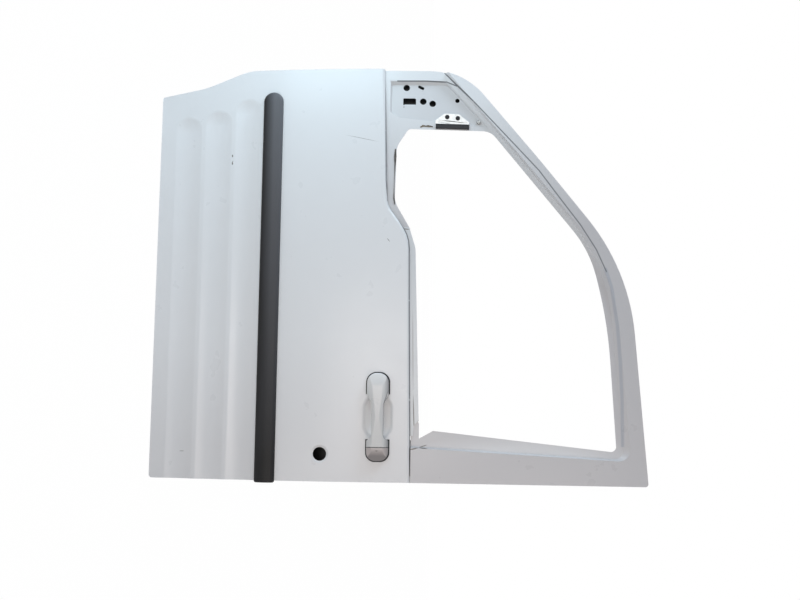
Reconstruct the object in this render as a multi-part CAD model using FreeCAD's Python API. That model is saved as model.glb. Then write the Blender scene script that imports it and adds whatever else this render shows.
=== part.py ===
"""Left front door of a panel van, bare: pressed steel shell, rub strip and pull handle.

Sizes are in millimetres and are taken from the door's own corner:
x runs back from the front edge of the outer skin, h runs up from its lower edge, and
depth runs inwards from the widest point of the skin.
The finished pieces are moved so that the origin lies on the flat hinge face.
"""
import FreeCAD, Part
import math
import os

V = FreeCAD.Vector

# Sheet metal and the sealer between two sheets
SHEET = 1.0
SEAL = 0.3
PLATE = 4.0

# Outer skin: width, belt line and the curve of its section
WIDTH = 1122.0
BELT_REAR = 711.0
BELT_MIDDLE = 703.0
BELT_DIP = 642.0
BELT_FRONT = 631.0
DIP_START = 380.0
DIP_END = 464.0
DIP_ROUND_LOW = 66.0
DIP_ROUND_HIGH = 150.0
PANEL_RADIUS = 3500.0
WIDEST = 260.0
TOE_X = 65.0
TOE_BEND = (45.0, 130.0)
FRONT_LOW = 255.0
BELT_ROLL = 8.0
BELT_FLANGE = 9.0

# Walls, inner panel and the hinges' places
FLANGE = 14.0
HEM = 2.0
WALL = 1.2
DOOR_DEPTH = 100.0
SHOULDER = 560.0
INNER_TOP = 698.0
SILL_TOP = 40.0
HINGE_LOW = 372.0
HINGE_HIGH = 590.0
HINGE_DEPTH = 56.0

# Window frame: it leans in from the belt, its outline is measured up its own slope
FRAME_BASE = 708.0
FRAME_DEPTH = 42.0
STEP_DEPTH = 12.0
FRAME_FOOT = 95.0
LEG_FOOT = 60.0
FRONT_SET = 2.0
FRONT_CORNER = (FRONT_SET, 136.0, 195.0)
SLANT_BOW = (253.0, 347.0, 3000.0)
ROOF_CORNER = (550.0, 584.6, 570.0)
REAR_TOP = (WIDTH + 3.0, 628.5, 8.0)
RAIL_SEAM = 1.0
RAIL_BASE_X = WIDTH - 172.0
RAIL_FOOT_S = 26.0
WINDOW_REAR_LOW = (WIDTH - 136.0, 63.0, 6.0)
WINDOW_REAR_TOP = (WIDTH - 85.0, 548.0, 14.0)
WINDOW_FRONT_TOP = (171.0, 214.0, 45.0)
WINDOW_FRONT_X = 166.0
TAIL_X = 444.0
STEP_REAR_TOP = WIDTH - 61.0
STEP_REAR_LOW = WIDTH - 92.5
STEP_SLOPE = 4.0
INNER_SETBACK = FLANGE + WALL + SEAL

# Rub strip
STRIP_WIDTH = 55.0
STRIP_HEIGHT = 13.0
STRIP_H = 325.0
STRIP_FRONT = 64.0
STRIP_OVERHANG = 5.0
STRIP_FLAT = 0.72
STRIP_EDGE_DROP = 2.6
STRIP_BULGE = (0.25, 0.62)
STRIP_END_SLOPE = 3.0

# Flutes pressed into the lower skin
FLUTE_WIDTH = 75.0
FLUTE_DEPTH = 6.0
FLUTE_ROUND = 25.0
FLUTES = [(82.0, 128.0), (168.5, 112.0), (255.0, 82.0)]

# Pull handle, its finger bowl and the lock hole
HANDLE_DROP = 86.0
HANDLE_INSET = 56.0
HANDLE_LENGTH = 231.0
CAP_LENGTH = 35.0
BULB_LENGTH = 58.0
FLARE_LENGTH = 23.0
PIVOT_INSET = 15.0
HANDLE_H = BELT_REAR - HANDLE_DROP
HANDLE_REAR = WIDTH - HANDLE_INSET
HANDLE_FRONT = HANDLE_REAR - HANDLE_LENGTH
HANDLE_SEAM = HANDLE_REAR - CAP_LENGTH
BULB_END = HANDLE_FRONT + BULB_LENGTH
FLARE_START = HANDLE_SEAM - FLARE_LENGTH
PIVOT_X = HANDLE_FRONT + PIVOT_INSET
HANDLE_HALF = 29.0
GRIP_HALF = 16.0
HANDLE_PROUD = 25.0
GRIP_UNDER = 9.0
SEAM_GAP = 1.0
PIVOT_W = 9.0
PIN_R = 3.0
PIN_CLEAR = 0.2
GASKET = 1.7
BOWL_LENGTH = 118.0
BOWL_HALF = 38.5
BOWL_DEPTH = 13.0
BOWL_ROUND = 12.0
BOWL_X = (BULB_END + FLARE_START) / 2
LOCK_INSET = 72.0
LOCK_X = WIDTH - LOCK_INSET
LOCK_H = 472.0
LOCK_R = 18.0
LOCK_DISH = 24.0
LOCK_SINK = 2.5

# Bolts and holes
BOLT_R = 5.5
BOLT_PITCH = 50.0
HINGE_PLATE = (56.0, 76.0)
STRAP_SLOT = (30.0, 46.0)
STRAP_DEPTH = 26.0
STRAP_BOLT_R = 4.5
STRAP_BOLT_PITCH = 68.0

# Mirror seat in the front corner of the frame, its holes, bracket and pad
SEAT_LAP = 9.0
SEAT_FLOOR = 20.0
SEAT_RISE = 0.055
SAIL_HOLES = [(48.0, -17.0, 9.0), (87.0, 29.0, 9.0), (93.0, 55.0, 9.0), (84.0, 123.0, 6.0)]
SAIL_WINDOW = [(78.0, -26.0, 3.0), (98.0, -26.0, 3.0), (98.0, 9.0, 4.0), (78.0, 9.0, 4.0)]
SAIL_SLOT = [(-9.0, -4.0, 3.9), (9.0, -4.0, 3.9), (9.0, 4.0, 3.9), (-9.0, 4.0, 3.9)]
SAIL_SLOT_PLACE = (47.0, 23.0, 63.0)
BRACKET_THICK = 2.0
BRACKET_JOGGLE = 1.5
BRACKET_OUTLINE = [(123.0, 88.0, 3.0), (142.0, 63.0), (147.0, 155.0), (125.0, 128.0, 3.0)]
BRACKET_BAND = [(141.0, 63.0), (151.0, 63.0), (153.0, 155.0), (146.0, 155.0)]
PAD_OUTLINE = [(151.5, 64.0), (165.0, 64.0), (167.0, 155.0), (153.5, 155.0)]
PAD_THICK = 6.0

# Waist rails
WAIST_FRONT = TAIL_X - 4.0
WAIST_REAR = WIDTH - 122.0
WAIST_OUTLINE = [
    (WAIST_FRONT, -62.0),
    (WAIST_REAR, -40.0),
    (WAIST_REAR, 10.0),
    (WIDTH - 150.0, 12.0, 8.0),
    (WIDTH - 162.0, 25.0),
    (497.0, 12.0, 60.0),
    (WAIST_FRONT, -5.5),
]
WAIST_INNER_HEIGHT = 40.0
WAIST_INNER_X = (DIP_END + 6.0, WIDTH - 132.0)

# Handle details
CROWN_RADIUS = 37.0
PIN_HALF = 20.0
LUG_TOP = 5.0
GASKET_LIP = 1.6
CARRIER_HALF = 22.0
LUG_HALF = 8.0
LUG_X0 = PIVOT_X - LUG_TOP
LUG_X1 = PIVOT_X + LUG_TOP
LUG_ROOM = 2.0
CAP_BOSS_X = (HANDLE_SEAM + HANDLE_REAR) / 2
CAP_BOSS_R = 9.0
CARRIER_DEEP = 24.0
CARRIER_FRONT = (PIVOT_X - 20.0, BULB_END - 14.0)
CARRIER_REAR = (FLARE_START + 6.0, HANDLE_REAR - 4.0)
BULB_ROUND = 27.0
NECK_LENGTH = 24.0
NECK_ROUND = 36.0
TAPER_LEAD = 14.0
SKIRT_ROUND = 4.0
SKIRT_TOP = 12.0
FLARE_HALF = 5.0
CROWN_DROP = 3.0
NOSE_LENGTH = 30.0
CAP_TAIL = 10.0
CAP_ROUND = 24.0

# Latch side
LATCH_H = 470.0
LATCH_DEPTH = 58.0
LATCH_OPENING = (40.0, 70.0)
LATCH_SPACING = (56.0, 96.0)
LATCH_SCREW_R = 3.5
LATCH_PLATE = (72.0, 124.0)

# Sill drains
DRAINS = [200.0, 560.0, 920.0]
DRAIN_SIZE = (40.0, 10.0)
DRAIN_DEPTH = 70.0

# Inner panel openings
INNER_LIP = 6.0
LEG_EDGE = WINDOW_FRONT_X - 26.0
SERVICE_HOLE = (230.0, 690.0, 320.0, 530.0, 40.0)
LATCH_ACCESS = (760.0, WIDTH - 102.0, 350.0, 530.0, 30.0)
LOWER_HOLE = (520.0, WIDTH - 142.0, 90.0, 230.0, 30.0)
SPEAKER = (310.0, 180.0, 82.0)

# Side beam across the door
BEAM_R = 16.0
BEAM_WALL = 2.0
BEAM_H = 310.0
BEAM_DEPTH = 46.0
BEAM_LAP = 60.0
BEAM_WALL_FRONT = FLANGE + WALL + SEAL
BEAM_WALL_REAR = WIDTH - FLANGE - WALL - SEAL
BEAM_SHORT = 20.0
BEAM_X = (BEAM_WALL_FRONT + BEAM_SHORT, BEAM_WALL_REAR - BEAM_SHORT)

HINGE_MIDDLE = (HINGE_LOW + HINGE_HIGH) / 2
ORIGIN = V(FLANGE, HINGE_DEPTH, HINGE_MIDDLE)
FAR = 2 * WIDTH
REACH = 60.0


def skin_depth(h):
    """Depth of the outer skin at a height above the lower edge."""
    return PANEL_RADIUS - math.sqrt(PANEL_RADIUS ** 2 - (h - WIDEST) ** 2)


def lean_at(h):
    """Lean of the skin from upright, in degrees, at a height."""
    return math.degrees(math.asin((h - WIDEST) / PANEL_RADIUS))


FRAME_LEAN = lean_at(FRAME_BASE)
LEAN_COS = math.cos(math.radians(FRAME_LEAN))
LEAN_SIN = math.sin(math.radians(FRAME_LEAN))


def slope(h):
    """Distance up the window frame's own slope for a height above the lower edge."""
    return (h - FRAME_BASE) / LEAN_COS


def unit(a, b):
    length = math.hypot(b[0] - a[0], b[1] - a[1])
    return (b[0] - a[0]) / length, (b[1] - a[1]) / length


def grow(points, distance):
    """Move each side of a closed outline outwards (or inwards, if negative) by a distance."""
    area = 0.0
    for a, b in zip(points, points[1:] + points[:1]):
        area += a[0] * b[1] - b[0] * a[1]
    turn = 1.0 if area > 0 else -1.0
    moved = []
    for k, point in enumerate(points):
        before = unit(points[k - 1], point)
        after = unit(point, points[(k + 1) % len(points)])
        cross = before[0] * after[1] - before[1] * after[0]
        dot = before[0] * after[0] + before[1] * after[1]
        shift = distance * turn / (1.0 + dot)
        x = point[0] + shift * (before[1] + after[1])
        y = point[1] - shift * (before[0] + after[0])
        radius = point[2] if len(point) > 2 else 0.0
        if radius:
            radius = max(radius + distance * turn * math.copysign(1.0, cross), 0.0)
        moved.append((x, y, radius))
    return moved


def rounded(points, level=0.0):
    """Closed wire through corner points (x, y, radius), each corner rounded by a tangent arc."""
    starts = []
    ends = []
    arcs = []
    for k, point in enumerate(points):
        corner = V(point[0], point[1], level)
        radius = point[2] if len(point) > 2 else 0.0
        back = unit(point, points[k - 1])
        ahead = unit(point, points[(k + 1) % len(points)])
        if radius <= 0.0:
            starts.append(corner)
            ends.append(corner)
            arcs.append(None)
            continue
        half = math.acos(back[0] * ahead[0] + back[1] * ahead[1]) / 2
        run = radius / math.tan(half)
        middle = V(back[0] + ahead[0], back[1] + ahead[1], 0).normalize()
        top = corner + middle * (radius / math.sin(half) - radius)
        start = corner + V(back[0], back[1], 0) * run
        end = corner + V(ahead[0], ahead[1], 0) * run
        starts.append(start)
        ends.append(end)
        arcs.append(Part.Arc(start, top, end).toShape())
    edges = []
    for k in range(len(points)):
        if arcs[k]:
            edges.append(arcs[k])
        following = starts[(k + 1) % len(points)]
        edges.append(Part.LineSegment(ends[k], following).toShape())
    return Part.Wire(edges)


def prism(points, low, high):
    """Solid of a rounded outline between two levels."""
    return Part.Face(rounded(points, low)).extrude(V(0, 0, high - low))


def block(x0, x1, y0, y1, z0, z1):
    return Part.makeBox(x1 - x0, y1 - y0, z1 - z0, V(x0, y0, z0))


def disc(x, y, radius, low, high):
    return Part.makeCylinder(radius, high - low, V(x, y, low))


def framed(x0, x1, h0, h1, radius):
    """Corner points of a rectangle whose corners share one radius."""
    return [(x0, h0, radius), (x1, h0, radius), (x1, h1, radius), (x0, h1, radius)]


def plate_at(x0, x1, depth, h, size):
    """Block along the door, centred on a depth and a height, with a size in depth and height."""
    half_d = size[0] / 2
    half_h = size[1] / 2
    return block(x0, x1, depth - half_d, depth + half_d, h - half_h, h + half_h)


def wall_hole(radius, x, depth, h):
    """Round hole along the door through a wall at x."""
    return Part.makeCylinder(radius, REACH, V(x - REACH / 2, depth, h), V(1, 0, 0))


def four_holes(radius, x, depth, h, spacing):
    """Rectangle of four holes through a wall at x."""
    holes = []
    for d in (depth - spacing[0] / 2, depth + spacing[0] / 2):
        for level in (h - spacing[1] / 2, h + spacing[1] / 2):
            holes.append(wall_hole(radius, x, d, level))
    return holes


def stand(shape, h=None):
    """Stand a flat-built shape up: its own up follows the skin's slope at a height, its z points out."""
    lean = 0.0 if h is None else lean_at(h)
    foot = V(0, 0, 0) if h is None else V(0, skin_depth(h), h)
    place = FreeCAD.Placement(foot, FreeCAD.Rotation(V(1, 0, 0), 90.0 - lean))
    shape = shape.copy()
    shape.Placement = place.multiply(shape.Placement)
    return shape


def upright(points, outer, inner):
    """Prism across the door: an outline in x and h, from one depth to another."""
    return stand(prism(points, -inner, -outer))


def barrel(radius_less):
    """Solid whose outer side is the skin's curve, set in by a distance."""
    start = V(-FAR / 4, PANEL_RADIUS, WIDEST)
    return Part.makeCylinder(PANEL_RADIUS - radius_less, FAR, start, V(1, 0, 0))


def profile(points, x0, x1):
    """Prism along the door: an outline in depth and h, from one x to another."""
    corners = [V(x0, depth, h) for depth, h in points]
    return Part.Face(Part.makePolygon(corners + corners[:1])).extrude(V(x1 - x0, 0, 0))


def save(name, shape):
    shape = shape.removeSplitter()
    shape = shape.copy()
    shape.translate(-ORIGIN)
    solids = shape.Solids
    print(name, "solids", len(solids), "valid", shape.isValid(), "cm3", round(shape.Volume / 1000.0, 1))
    if len(solids) == 1:
        shape = solids[0]
    shape.exportStep("parts/" + name + ".step")


# Outlines of the lower door, in x and h
FRONT_EDGE = [(0.0, FRONT_LOW, 150.0), (TOE_BEND[0], TOE_BEND[1], 250.0)]
SKIN_OUTLINE = [
    (TOE_X, 0.0, 6.0),
    (WIDTH, 0.0, 9.0),
    (WIDTH, BELT_REAR),
    (DIP_END, BELT_MIDDLE, DIP_ROUND_HIGH),
    (DIP_START, BELT_DIP, DIP_ROUND_LOW),
    (0.0, BELT_FRONT),
] + FRONT_EDGE
INNER_OUTLINE = [
    (TOE_X, -REACH),
    (WIDTH + REACH, -REACH),
    (WIDTH + REACH, BELT_REAR - SHEET),
    (WIDTH, BELT_REAR - SHEET),
    (DIP_END, BELT_MIDDLE - SHEET, DIP_ROUND_HIGH - SHEET),
    (DIP_START, BELT_DIP - SHEET, DIP_ROUND_LOW + SHEET),
    (0.0, BELT_FRONT - SHEET),
    (-REACH, BELT_FRONT - SHEET),
    (-REACH, -REACH),
]
CASE_TOP = INNER_TOP + REACH
LOWER_EDGE = [(TOE_X, 0.0, 6.0), (WIDTH, 0.0, 9.0)]
CASE_OUTLINE = LOWER_EDGE + [(WIDTH, CASE_TOP), (0.0, CASE_TOP)] + FRONT_EDGE


def flute(centre_h, front_x, extra):
    """Shallow round-ended trough that a flute takes out of the skin."""
    radius = (FLUTE_WIDTH ** 2 / 4 + FLUTE_DEPTH ** 2) / (2 * FLUTE_DEPTH)
    lean = math.radians(lean_at(centre_h))
    out = radius - FLUTE_DEPTH
    depth = skin_depth(centre_h) - out * math.cos(lean)
    start = V(front_x + FLUTE_WIDTH / 2, depth, centre_h + out * math.sin(lean))
    trough = Part.makeCylinder(radius + extra, FAR, start, V(1, 0, 0))
    return trough.fuse(Part.makeSphere(radius + extra, start))


def finger_bowl(extra):
    """Long round-ended bowl behind the grip."""
    radius = (BOWL_HALF ** 2 + BOWL_DEPTH ** 2) / (2 * BOWL_DEPTH)
    straight = BOWL_LENGTH - 2 * BOWL_HALF
    front = V(BOWL_X - straight / 2, 0, radius - BOWL_DEPTH)
    rear = V(BOWL_X + straight / 2, 0, radius - BOWL_DEPTH)
    bowl = Part.makeCylinder(radius + extra, straight, front, V(1, 0, 0))
    bowl = bowl.fuse([Part.makeSphere(radius + extra, front), Part.makeSphere(radius + extra, rear)])
    return stand(bowl, HANDLE_H)


def lock_dish(extra):
    """Shallow dish round the lock hole."""
    slant = LOCK_DISH - LOCK_R
    base = V(LOCK_X, 0, -LOCK_SINK - extra)
    dish = Part.makeCone(LOCK_R + extra, LOCK_DISH + slant + extra, 2 * LOCK_SINK, base)
    return stand(dish, LOCK_H)


def pressed_body(outline, less):
    """Solid behind the skin's outer or inner face, with every pressed hollow taken out of it.

    The outer face has soft flute rims; the rim of the bowl is rounded on both faces.
    """
    blank = upright(framed(-REACH, WIDTH + REACH, -REACH, CASE_TOP, 0.0), -REACH, REACH)
    hollows = [flute(h, x, less) for h, x in FLUTES] + [finger_bowl(less)]
    body = blank.common(barrel(less)).cut(hollows)
    flute_rims = []
    bowl_rim = []
    for edge in body.Edges:
        box = edge.BoundBox
        middle = edge.valueAt((edge.FirstParameter + edge.LastParameter) / 2)
        on_skin = abs(middle.y - skin_depth(middle.z) - less) < SEAL
        if on_skin and box.XMin > 0.0 and box.XLength > SHEET:
            rim = flute_rims if middle.z < STRIP_H else bowl_rim
            rim.append(edge)
    if less == 0.0:
        body = body.makeFillet(FLUTE_ROUND, flute_rims)
    body = body.makeFillet(BOWL_ROUND - less, bowl_rim)
    return body.cut(lock_dish(less)).common(upright(outline, -REACH, REACH))


def lug_slot(room, low, high):
    """Room round the lug that carries the grip."""
    half = LUG_HALF + room
    return block(LUG_X0 - room, LUG_X1 + room, -half, half, low, high)


def roll_belt(body, radius, less):
    """Round the edge where the skin's face meets the belt."""
    edges = []
    for edge in body.Edges:
        middle = edge.valueAt((edge.FirstParameter + edge.LastParameter) / 2)
        on_skin = abs(middle.y - skin_depth(middle.z) - less) < SEAL
        on_belt = edge.BoundBox.ZMin > BELT_FRONT - BELT_ROLL and edge.BoundBox.XLength > SHEET
        if on_skin and on_belt:
            edges.append(edge)
    return body.makeFillet(radius, edges)


def make_outer_skin():
    """Pressed sheet, rolled inwards along the belt, plain at its other edges."""
    outer = roll_belt(pressed_body(SKIN_OUTLINE, 0.0), BELT_ROLL, 0.0)
    inner = roll_belt(pressed_body(INNER_OUTLINE, SHEET), BELT_ROLL - SHEET, SHEET)
    skin = outer.cut(inner).cut(barrel(BELT_FLANGE))
    slot = lug_slot(LUG_ROOM, -REACH, REACH)
    boss_hole = disc(CAP_BOSS_X, 0, CAP_BOSS_R + LUG_ROOM, -REACH, REACH)
    lock_hole = disc(LOCK_X, 0, LOCK_R, -REACH, REACH)
    return skin.cut([stand(slot, HANDLE_H), stand(boss_hole, HANDLE_H), stand(lock_hole, LOCK_H)])


def make_rub_strip():
    """Domed strip with a half-round front end; its rear end stands past the skin's edge."""
    half = STRIP_WIDTH / 2
    flat = half * STRIP_FLAT
    crown_radius = (flat ** 2 + STRIP_EDGE_DROP ** 2) / (2 * STRIP_EDGE_DROP)
    foot = V(0, half, 0)
    shoulder = V(0, flat, STRIP_HEIGHT - STRIP_EDGE_DROP)
    bulge = V(0, half - (half - flat) * STRIP_BULGE[0], shoulder.z * STRIP_BULGE[1])
    crown = V(0, 0, STRIP_HEIGHT)
    rise = V(0, flat / 2, STRIP_HEIGHT - crown_radius + math.sqrt(crown_radius ** 2 - flat ** 2 / 4))
    edges = [
        Part.LineSegment(V(0, 0, 0), foot).toShape(),
        Part.Arc(foot, bulge, shoulder).toShape(),
        Part.Arc(shoulder, rise, crown).toShape(),
        Part.LineSegment(crown, V(0, 0, 0)).toShape(),
    ]
    section = Part.Face(Part.Wire(edges))
    start_x = STRIP_FRONT + half
    length = WIDTH + STRIP_OVERHANG - start_x
    upper = section.extrude(V(length, 0, 0))
    lower = upper.mirror(V(0, 0, 0), V(0, 1, 0))
    nose = section.revolve(V(0, 0, 0), V(0, 0, 1), 180.0)
    strip = upper.fuse([lower, nose]).removeSplitter()
    rear_x = length - SEAL
    rear_edges = [e for e in strip.Edges if e.BoundBox.XMin > rear_x and e.BoundBox.ZMax > SEAL]
    strip = strip.makeChamfer(STRIP_END_SLOPE, rear_edges)
    strip.translate(V(start_x, 0, SEAL))
    return stand(strip, STRIP_H)


# Outlines of the window frame, in x and distance up the slope
RAIL_BASE = slope(BELT_REAR + RAIL_SEAM)
FRONT_SEAM = slope(BELT_FRONT + RAIL_SEAM)
FOOT_INSET = FLANGE + WALL + PLATE + 3 * SEAL
FRAME_OUTER = [
    (FOOT_INSET, -FRAME_FOOT),
    (FOOT_INSET, FRONT_SEAM),
    (FRONT_SET, FRONT_SEAM),
    FRONT_CORNER,
    SLANT_BOW,
    ROOF_CORNER,
    REAR_TOP,
    (WIDTH, RAIL_BASE),
    (RAIL_BASE_X, RAIL_BASE),
]
RAIL_FOOT = [(RAIL_BASE_X, RAIL_FOOT_S - 8.0), (WIDTH - 154.0, RAIL_FOOT_S), (WIDTH - 115.0, RAIL_FOOT_S)]
WINDOW_REAR = [WINDOW_REAR_LOW, WINDOW_REAR_TOP]
WINDOW_TOP = [(687.0, 528.0, 1200.0), (497.0, 481.0, 320.0)]
WINDOW_FRONT = [WINDOW_FRONT_TOP, (WINDOW_FRONT_X, -10.0, 14.0), (215.0, -42.0, 50.0)]
TAIL_END = [(370.0, -46.0, 60.0), (TAIL_X, -3.0), (TAIL_X, -FRAME_FOOT)]
FRAME_OUTLINE = FRAME_OUTER + RAIL_FOOT + WINDOW_REAR + WINDOW_TOP + WINDOW_FRONT + TAIL_END
STEP_TOP = [
    (-REACH, 38.0),
    (271.0, 319.0, 3000.0),
    (548.5, 545.0, 560.0),
    (STEP_REAR_TOP, 584.0, 30.0),
    (STEP_REAR_LOW, -20.0),
    (STEP_REAR_LOW, -2 * FRAME_FOOT),
    (-REACH, -2 * FRAME_FOOT),
]
STEP_FOOT = [
    (-REACH, 33.0),
    (271.0, 314.0, 3000.0),
    (534.0, 528.0, 520.0),
    (STEP_REAR_TOP - STEP_SLOPE, 568.0, 26.0),
    (STEP_REAR_LOW - STEP_SLOPE, -20.0),
    (STEP_REAR_LOW - STEP_SLOPE, -2 * FRAME_FOOT),
    (-REACH, -2 * FRAME_FOOT),
]
SEAT_OUTLINE = [
    (30.0, -62.0),
    (30.0, 92.0, 40.0),
    (160.0, 206.0),
    (134.0, -36.0),
    (118.0, -62.0),
]
SEAT_FLOOR_OUTLINE = [
    (40.0, -57.0),
    (40.0, 95.5, 34.0),
    (155.5, 196.7),
    (132.0, -35.0),
    (117.0, -57.0),
]


def seat_pocket(extra, top):
    """Hollow of the mirror seat, with sloped sides and a floor that rises to the window."""
    start_x = SEAT_FLOOR_OUTLINE[0][0]
    foot = rounded(grow(SEAT_FLOOR_OUTLINE, extra), -SEAT_FLOOR - extra)
    foot.rotate(V(start_x, 0, -SEAT_FLOOR - extra), V(0, 1, 0), -math.degrees(math.atan(SEAT_RISE)))
    brim = rounded(grow(SEAT_OUTLINE, extra - 2 * SHEET), top)
    return Part.makeLoft([brim, foot], True, True)


def step_pocket(extra):
    """Sloped pocket between the frame's outer band and its sunk inner band."""
    top = rounded(grow(STEP_TOP, extra), -extra)
    foot = rounded(grow(STEP_FOOT, extra), -STEP_DEPTH - extra)
    return Part.makeLoft([top, foot], True, True)


def make_window_frame_outer():
    front = prism(FRAME_OUTLINE, -FRAME_DEPTH, 0.0).cut(step_pocket(0.0))
    back = prism(grow(FRAME_OUTLINE, 3 * SHEET), -FRAME_DEPTH, -SHEET).cut(step_pocket(SHEET))
    sheet = front.cut(back)
    seat_hole = prism(SEAT_OUTLINE, -FRAME_DEPTH, REACH)
    return stand(sheet.cut(seat_hole), FRAME_BASE)


RAIL_OUTLINE = [
    (FRONT_SET, -LEG_FOOT),
    FRONT_CORNER,
    SLANT_BOW,
    ROOF_CORNER,
    REAR_TOP,
    (WIDTH, -LEG_FOOT),
    (WIDTH - 116.0, -LEG_FOOT),
] + WINDOW_REAR + WINDOW_TOP + [WINDOW_FRONT_TOP, (WINDOW_FRONT_X, -LEG_FOOT)]


def clear_of_skin(shape):
    """Take off what would reach into the skin or its rolled belt edge."""
    below = upright(framed(-REACH, FAR, 0.0, BELT_REAR + RAIL_SEAM, 0.0), -REACH, REACH)
    return shape.cut(below.cut(barrel(BELT_FLANGE + 2 * SEAL)))


def frame_room():
    """Space that the sunk front of the frame and the rolled belt take from the hinge wall."""
    low = slope(BELT_FRONT - BELT_ROLL - SHEET)
    outline = framed(-REACH, WIDTH / 4, low, slope(CASE_TOP + REACH), 0.0)
    return stand(prism(outline, -STEP_DEPTH - SHEET - SEAL, REACH), FRAME_BASE)


def make_window_frame_inner():
    """Deep tray behind the outer frame, open towards it, with two legs down into the door."""
    lap = SHEET + SEAL
    outline = grow(RAIL_OUTLINE, -INNER_SETBACK)
    tray = prism(outline, -FRAME_DEPTH, -lap).cut(step_pocket(lap))
    room = prism(grow(outline, -SHEET), SHEET - FRAME_DEPTH, 0.0)
    corners = [point[:2] for point in SEAT_OUTLINE]
    sail_room = prism(grow(corners, SEAT_LAP + SEAL), -SEAT_FLOOR - 2 * SHEET, 0.0)
    return clear_of_skin(stand(tray.cut([room, sail_room]), FRAME_BASE))


def make_sail_panel():
    """Mirror seat: a shallow dish whose rim lies behind the frame, with the mirror's holes."""
    rim = STEP_DEPTH + SHEET + SEAL
    corners = [point[:2] for point in SEAT_OUTLINE]
    front = prism(grow(corners, SEAT_LAP), -FRAME_DEPTH, -rim)
    front = front.cut(seat_pocket(0.0, -rim))
    back = prism(grow(corners, 2 * SEAT_LAP), -FRAME_DEPTH, -rim - SHEET)
    back = back.cut(seat_pocket(SHEET, -rim - SHEET))
    holes = [disc(x, s, radius, -FRAME_DEPTH, 0.0) for x, s, radius in SAIL_HOLES]
    holes.append(prism(SAIL_WINDOW, -FRAME_DEPTH, 0.0))
    slot = prism(SAIL_SLOT, -FRAME_DEPTH, 0.0)
    centre = V(SAIL_SLOT_PLACE[0], SAIL_SLOT_PLACE[1], 0)
    slot.rotate(V(0, 0, 0), V(0, 0, 1), SAIL_SLOT_PLACE[2])
    slot.translate(centre)
    holes.append(slot)
    return stand(front.cut(back).cut(holes), FRAME_BASE)


def make_waist_rail_outer():
    """Strip behind the rolled belt edge, under the window."""
    level = BELT_FLANGE + 3 * SEAL
    return stand(prism(WAIST_OUTLINE, -level - SHEET, -level), FRAME_BASE)


def make_mirror_bracket():
    """Plate that carries the pad, with a lower band along the pad's edge."""
    level = SEAL - STEP_DEPTH
    band = prism(BRACKET_BAND, level, level + BRACKET_THICK)
    plate = prism(BRACKET_OUTLINE, level + BRACKET_JOGGLE, level + BRACKET_JOGGLE + BRACKET_THICK)
    return stand(plate.fuse(band), FRAME_BASE)


def make_bracket_pad():
    level = STEP_DEPTH - SEAL
    return stand(prism(PAD_OUTLINE, -level, -level + PAD_THICK), FRAME_BASE)


# Pull handle, built flat on the skin: x along the door, y up the skin, z outwards
HANDLE_SEAT = SEAL + GASKET + SEAL
GRIP_END = HANDLE_SEAM - SEAM_GAP
GRIP_PLAN_HALF = [
    (HANDLE_FRONT, HANDLE_HALF, BULB_ROUND),
    (BULB_END - TAPER_LEAD, HANDLE_HALF, NECK_ROUND),
    (BULB_END + NECK_LENGTH, GRIP_HALF, NECK_ROUND),
    (FLARE_START - FLARE_HALF, GRIP_HALF, 12.0),
    (FLARE_START + FLARE_HALF, HANDLE_HALF, 5.0),
    (GRIP_END, HANDLE_HALF),
]
SKIRT_PLAN_HALF = [
    (HANDLE_FRONT, HANDLE_HALF, BULB_ROUND),
    (BULB_END, HANDLE_HALF, SKIRT_ROUND),
    (BULB_END + NECK_LENGTH, GRIP_HALF),
]
GRIP_SIDE = [
    (HANDLE_FRONT, PIVOT_W - 1.0, 2.0),
    (PIVOT_X, HANDLE_SEAT),
    (BULB_END - CROWN_DROP, HANDLE_SEAT, 3.0),
    (BULB_END + GRIP_UNDER, GRIP_UNDER, 12.0),
    (FLARE_START - GRIP_HALF, GRIP_UNDER, 10.0),
    (FLARE_START, HANDLE_SEAT, 3.0),
    (GRIP_END, HANDLE_SEAT),
    (GRIP_END, HANDLE_PROUD - CROWN_DROP),
    (BOWL_X, HANDLE_PROUD, 500.0),
    (HANDLE_FRONT + NOSE_LENGTH, HANDLE_PROUD - CROWN_DROP, 50.0),
    (HANDLE_FRONT, PIVOT_W + 5.0, 5.0),
]
CAP_PLAN_HALF = [(HANDLE_SEAM, HANDLE_HALF), (HANDLE_REAR, HANDLE_HALF, CAP_ROUND)]
CAP_SIDE = [
    (HANDLE_SEAM, HANDLE_SEAT),
    (HANDLE_REAR, HANDLE_SEAT),
    (HANDLE_REAR, CAP_TAIL, 5.0),
    (HANDLE_SEAM + 14.0, HANDLE_PROUD - CROWN_DROP - 0.5, 40.0),
    (HANDLE_SEAM, HANDLE_PROUD - CROWN_DROP),
]


def mirrored(half):
    """Closed outline from its upper half, mirrored below."""
    below = [(p[0], -p[1]) + tuple(p[2:]) for p in half]
    return below + half[::-1]


def moulding(plan, side):
    """Solid with one outline seen from the front and another from above, crowned across its width."""
    across = prism(side, -REACH, REACH)
    across.rotate(V(0, 0, 0), V(1, 0, 0), 90.0)
    crown = Part.makeCylinder(CROWN_RADIUS, FAR, V(0, 0, HANDLE_PROUD - CROWN_RADIUS), V(1, 0, 0))
    return prism(plan, -REACH, REACH).common(across).common(crown).Solids[0]


def pin_hole(radius, half):
    return Part.makeCylinder(radius, 2 * half, V(PIVOT_X, -half, PIVOT_W), V(0, 1, 0))


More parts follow.
